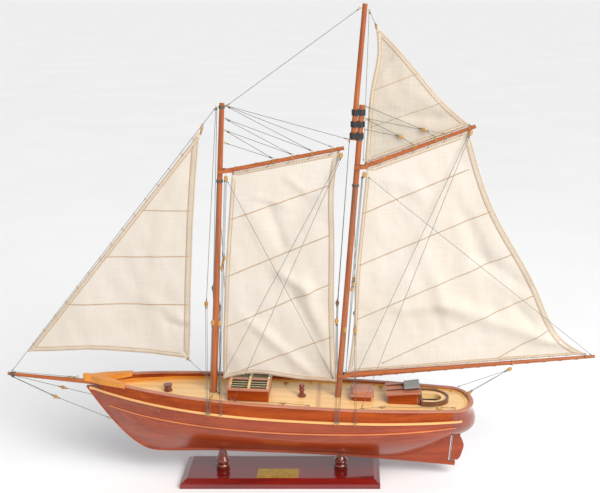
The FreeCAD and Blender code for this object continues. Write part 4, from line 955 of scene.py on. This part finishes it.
MAIN_LEECH = [MAIN_FOOT[1], (292.0, 155.0), (266.0, 203.0), (216.6, 291.4), MAIN_HEAD[1]]
TOP_LUFF = [(87.6, 337.6), (90.2, 372.0), (94.0, 414.0), (99.6, 446.0), (98.0, 470.5)]
TOP_LEECH = [(191.0, 375.4), (163.6, 398.8), (147.3, 417.0), (117.5, 451.4), (98.0, 470.5)]
TOP_FOOT = [(87.6, 337.6), (191.0, 375.4)]


def point_edge(at):
    """A corner as a very short edge, so that every sail has four sides."""
    return [at, (at[0] + 0.2, at[1])]


FOLDS = {       # (x, z) of a fold's start and end, its width and its height
    "jib": ((-128, 196, -98, 176, 7.0, -1.1), (-112, 172, -96, 168, 4.0, 0.9),
            (-190, 150, -120, 190, 16.0, 1.2), (-100, 330, -120, 250, 9.0, -0.9)),
    "foresail": ((6, 224, 30, 208, 6.0, -1.7), (30, 208, 56, 120, 9.0, -2.2), (-30, 175, 29, 121, 6.0, -1.6),
                 (14, 323, 27, 312, 5.0, -1.2), (-8, 293, 4, 257, 6.0, 1.2), (-20, 305, 4, 298, 4.0, -0.8),
                 (18, 196, 44, 150, 8.0, 1.8)),
    "mainsail": ((126, 188, 173, 192, 7.0, -1.6), (173, 192, 272, 158, 9.0, -2.4),
                 (272, 158, 310, 141, 6.0, -1.4), (191, 280, 210, 240, 9.0, 1.8),
                 (210, 240, 250, 213, 8.0, 1.6), (147, 262, 168, 197, 9.0, -1.1),
                 (95, 328, 143, 311, 8.0, -0.9), (243, 190, 272, 159, 5.0, 1.0)),
    "topsail": ((129, 386, 172, 381, 6.0, 1.3), (104, 426, 119, 445, 4.0, -0.7),
                (100, 389, 112, 391, 5.0, 0.8), (136, 407, 153, 398, 6.0, -0.9)),
}
SAILS = {
    "jib": Sail(JIB_LUFF, JIB_LEECH, JIB_FOOT, point_edge(JIB_LUFF[1]), (JIB_LUFF,), FOLDS["jib"],
                belly=2.2, seed=1.0),
    "foresail": Sail(FORE_LUFF, FORE_LEECH, FORE_FOOT, FORE_HEAD, (FORE_HEAD,), FOLDS["foresail"],
                     belly=1.8, seed=3.0),
    "mainsail": Sail(MAIN_LUFF, MAIN_LEECH, MAIN_FOOT, MAIN_HEAD, (MAIN_HEAD, MAIN_FOOT), FOLDS["mainsail"],
                     belly=2.6, seed=5.0),
    "topsail": Sail(TOP_LUFF, TOP_LEECH, TOP_FOOT, point_edge(TOP_LUFF[-1]), (TOP_FOOT,), FOLDS["topsail"],
                    belly=0.9, seed=7.0, y=TOPSAIL_Y),
}
HEMS = {        # widths of the hems on the luff, leech, foot and head
    "jib": (4.6, 6.4, 5.0),
    "foresail": (4.6, 6.0, 4.6, 3.6),
    "mainsail": (4.2, 6.2, 3.6, 4.6),
    "topsail": (4.8, 5.0, 4.6),
}
SEAMS = {       # (x, z) of both ends, which may lie past the cloth
    "jib": ((-138.4, 290.8, -84.0, 290.0), (-178.0, 242.4, -87.4, 242.8), (-219.4, 191.8, -91.0, 191.8)),
    "foresail": ((-49.2, 280.2, 53.6, 316.4), (-53.8, 220.8, 53.4, 265.6), (-57.2, 166.6, 54.6, 214.2),
                 (-41.3, 119.5, 55.9, 158.0)),
    "mainsail": ((84.6, 286.6, 192.0, 332.8), (79.6, 232.2, 219.4, 291.6), (77.2, 174.4, 240.0, 246.2),
                 (104.8, 126.9, 266.2, 203.8), (224.9, 132.4, 283.8, 168.2)),
    "topsail": ((95.0, 409.3, 141.0, 426.6), (92.4, 373.3, 168.6, 399.5)),
}
MAKING = {      # body, mesh columns and rows, pieces that hold the sail
    "jib": ("root", (84, 104), ["stay_lines"]),
    "foresail": ("fore_rig", (64, 110), ["fore_gaff"]),
    "mainsail": ("main_rig", (110, 110), ["main_gaff", "main_boom"]),
    "topsail": ("main_rig", (50, 76), ["main_gaff"]),
}


def make_sails():
    for name, sail in SAILS.items():
        body, grid, rests_on = MAKING[name]
        # The topsail gets the darker cotton, which is painted shade.
        fabric = SHADED_TOP_CLOTH if name == "topsail" else MATERIALS["sailcloth"]
        sheet = sail.cloth(*grid).piece(name + "_cloth", fabric, body, "sailcloth")
        hems, rows, seams = Shape(), Shape(), Shape()
        for edge, width in zip(sail.edges, HEMS[name]):
            sail.hem(hems, edge, width)
            sail.stitches(rows, edge, width - 0.9)
            sail.stitches(rows, edge, 0.9)
        for x0, z0, x1, z1 in SEAMS[name]:
            sail.seam(seams, rows, (x0, z0), (x1, z1))
        # Hems and seams take the darker tan cotton, painted shade of the doubled cloth.
        extra = [hems.piece(name + "_hems", DOUBLED_CLOTH_SHADED, body, "sailcloth"),
                 seams.piece(name + "_seams", DOUBLED_CLOTH_SHADED, body, "sailcloth"),
                 rows.piece(name + "_stitching", STITCH, body, "sailcloth")]
        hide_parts(name)
        float(sail.area()) * MM * MM


def lacing(name, ends, x0, x1, pitch, lift, body):
    """Thread wound round a spar and through the sail's edge; lift is the edge's place from the axis."""
    shape = Shape()
    points = []
    for i in range(int((x1 - x0) / pitch * 28) + 1):
        a = 2 * math.pi * i / 28
        x = x0 + pitch * i / 28
        radius = spar_radius(ends, x) + 0.32
        axis = spar_z(ends, x)
        way = math.copysign(1, lift)
        reach = way * math.cos(a)
        stretch = max(0.0, reach) ** 3 * (abs(lift) + 1.6 - radius)
        points.append(axis + V((0, radius * math.sin(a), way * (radius * reach + stretch))))
    wind(shape, points, 0.36, 1.9)
    shape.piece(name, LACING, body, "cordage")


def lash(shape, a, b, wide=0.75):
    """A few turns of thread that tie a sail's corner to a spar."""
    turns = 3
    along = (b - a).normalized()
    aside = along.cross(V((0, 1, 0))).normalized()
    middle, reach = (a + b) / 2, (b - a).length / 2 + 0.7
    points = []
    for i in range(turns * 24 + 1):
        t = 2 * math.pi * i / 24
        shift = aside * (0.75 * (i / 24 - turns / 2))
        points.append(middle + along * (reach * math.cos(t)) + V((0, wide * math.sin(t), 0)) + shift)
    wind(shape, points, 0.3, 1.6)


def corner(edge, end, dx=0.0, dz=0.0, y=0.0):
    """A sail's corner, at one end of an edge, moved by (dx, dz)."""
    return V((edge[end][0] + dx, y, edge[end][1] + dz))


def corner_lashings():
    """Ties at the sails' corners, and the hanks that hold the jib to its stay."""
    jib = Shape()
    lash(jib, corner(JIB_LUFF, 1, 1.2, -1.5), V((-71.5, 0, 376.4)))
    lash(jib, corner(JIB_LEECH, 0, -1.0, 1.2), corner(JIB_LEECH, 0, -2.2, -1.4, -0.8))
    foot = V((-280.5, 0, 118.3))
    out = V((-0.77, 0, 0.63))
    for k in range(15):
        luff = corner(JIB_LUFF, 0).lerp(corner(JIB_LUFF, 1), (k + 0.5) / 15)
        stay = foot.lerp(STAY_HEAD, (luff.x - foot.x) / (STAY_HEAD.x - foot.x))
        middle = (luff + stay) / 2 + V((0.5, 0, -0.4))
        wind(jib, circle(middle, out * 2.3, V((0, 0.85, 0)), 25), 0.26, 1.4)
    jib.piece("jib_hanks", LACING, "root", "cordage")
    fore = Shape()
    mast = spar_x(FOREMAST, 112.0)
    lash(fore, corner(FORE_LUFF, 0, 1.4, 1.6), mast + V((3.4, 0, 0)))
    lash(fore, corner(FORE_HEAD, 0, 1.4, -1.4), spar_z(FORE_GAFF, -44.0, 1.2))
    lash(fore, corner(FORE_HEAD, 1, -1.4, -1.4), spar_z(FORE_GAFF, 63.0, 1.2))
    lash(fore, corner(FORE_LEECH, 0, -1.4, 1.4), corner(FORE_LEECH, 0, 1.6, -1.6))
    fore.piece("foresail_lashings", LACING, "fore_rig", "cordage")
    main = Shape()
    for edge, spar, places in ((MAIN_FOOT, MAIN_BOOM, ((71.6, -1.6), (318.4, -1.0))),
                               (MAIN_HEAD, MAIN_GAFF, ((90.0, 1.4), (190.4, 1.0)))):
        for end, place in enumerate(places):
            lash(main, corner(edge, end), spar_z(spar, *place), wide=2.6)
    lash(main, corner(TOP_FOOT, 0, 1.4, 1.6, TOPSAIL_Y), corner(TOP_FOOT, 0, 0.6, -1.8, TOPSAIL_Y))
    lash(main, corner(TOP_FOOT, 1, -1.6, 0.6, TOPSAIL_Y), V((192.4, 1.4, 374.2)))
    lash(main, corner(TOP_LEECH, -1, 0.2, -2.0, TOPSAIL_Y), corner(TOP_LEECH, -1, -0.2, 1.2, TOPSAIL_Y))
    main.piece("mainsail_lashings", LACING, "main_rig", "cordage")


# -------------------- hull and deck details
def band(shape, outer, inner, low, high):
    """Closed strip between two plan lines; low and high give the heights of its edges at x."""
    verts = []
    for (x0, y0), (x1, y1) in zip(outer, inner):
        verts += [(x0, y0, low(x0)), (x0, y0, high(x0)), (x1, y1, high(x1)), (x1, y1, low(x1))]
    shape.add(verts, tube_faces(len(outer), 4))


def over_deck(lift, share=0.0):
    """Height function: lift over the deck, and a share of the way from the deck to the rail."""
    return lambda x: deck_height(x) + lift + share * (sheer(x) - RAIL_THICK - deck_height(x))


def deck_margins():
    """Golden waterway planks round the deck and the pale lining of the bulwarks."""
    water, lining = Shape(), Shape()
    for side in (PORT, STARBOARD):
        band(water, inner_edge(side, 0.1), inner_edge(side, 5.2), over_deck(-0.2), over_deck(0.22))
        band(lining, inner_edge(side, -0.3), inner_edge(side, 0.45), over_deck(0.1), over_deck(0.0, 0.48))
    water.piece("waterway_planks", WATERWAY, "root", "golden_wood", smooth=False)
    lining.piece("bulwark_lining", MATERIALS["golden_wood"], "root", "golden_wood", smooth=False)


# -------------------- stage, camera, lights
FLOOR_HALF = 60.0         # metres


def facing(direction):
    return direction.to_track_quat("-Z", "Y").to_euler()


def make_stage():
    mesh = bpy.data.meshes.new("floor")
    corners = ((-1, -1), (1, -1), (1, 1), (-1, 1))
    mesh.from_pydata([(x * FLOOR_HALF, y * FLOOR_HALF, 0) for x, y in corners], [], [(0, 1, 2, 3)])
    s = Shader("pale_floor", Roughness=0.75, Specular_IOR_Level=0.2)
    s.colour(s.ramp(s.noise((3, 3, 3), 3.0), (0.3, rgb((238, 238, 239))), (0.7, rgb((242, 242, 243)))))
    mesh.materials.append(s.material)
    add_object("floor", mesh)

    world = bpy.data.worlds.new("studio")
    bpy.context.scene.world = world
    world.use_nodes = True
    background = world.node_tree.nodes["Background"]
    background.inputs["Color"].default_value = (0.95, 0.97, 1.0, 1)
    background.inputs["Strength"].default_value = 0.6

    sun = bpy.data.lights.new("window", "SUN")
    sun.energy = 1.9
    sun.angle = math.radians(44)
    sun.color = (1.0, 0.97, 0.92)
    add_object("window", sun).rotation_euler = facing(V((-0.55, 0.75, -1.0)))

    box = bpy.data.lights.new("softbox", "AREA")
    box.energy = 9.0
    box.shape = "RECTANGLE"
    box.size = 0.5
    box.size_y = 0.8
    lamp = add_object("softbox", box)
    lamp.location = (0.75, -0.85, 0.75)
    lamp.rotation_euler = facing(V((0.0, 0, 0.15)) - lamp.location)


def make_camera():
    data = bpy.data.cameras.new("camera")
    data.lens = 60.0
    data.sensor_width = 36.0
    data.shift_x = -1 / 12
    data.clip_end = 200.0
    camera = add_object("camera", data)
    camera.location = (0.0729, -0.9776, 0.5088)
    camera.rotation_euler = (math.radians(90 - 14.65), 0, 0)
    bpy.context.scene.camera = camera
    bpy.context.scene.view_settings.view_transform = "Standard"


shrouds("fore", FOREMAST, FORE_TOP, FORE_LOW)
shrouds("main", LOWER_MAST, MAIN_TOP, MAIN_LOW)
bow_rigging()
stay_lines()
deck_line_runs()
fore_gaff_lines()
main_gaff_lines()
made = root_blocks.piece("shroud_blocks", BLOCK_WOOD, "root", "brass")
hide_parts("rigging_blocks")
root_strops.piece("shroud_strops", LACING, "root", "cordage")
make_sails()
lacing("boom_lacing", MAIN_BOOM, 78.0, 316.0, 17.0, 3.5, "main_rig")
lacing("main_gaff_lacing", MAIN_GAFF, 93.0, 188.0, 15.8, -3.1, "main_rig")
lacing("fore_gaff_lacing", FORE_GAFF, -41.0, 61.0, 20.4, -3.1, "fore_rig")
corner_lashings()
deck_margins()
make_stage()
make_camera()
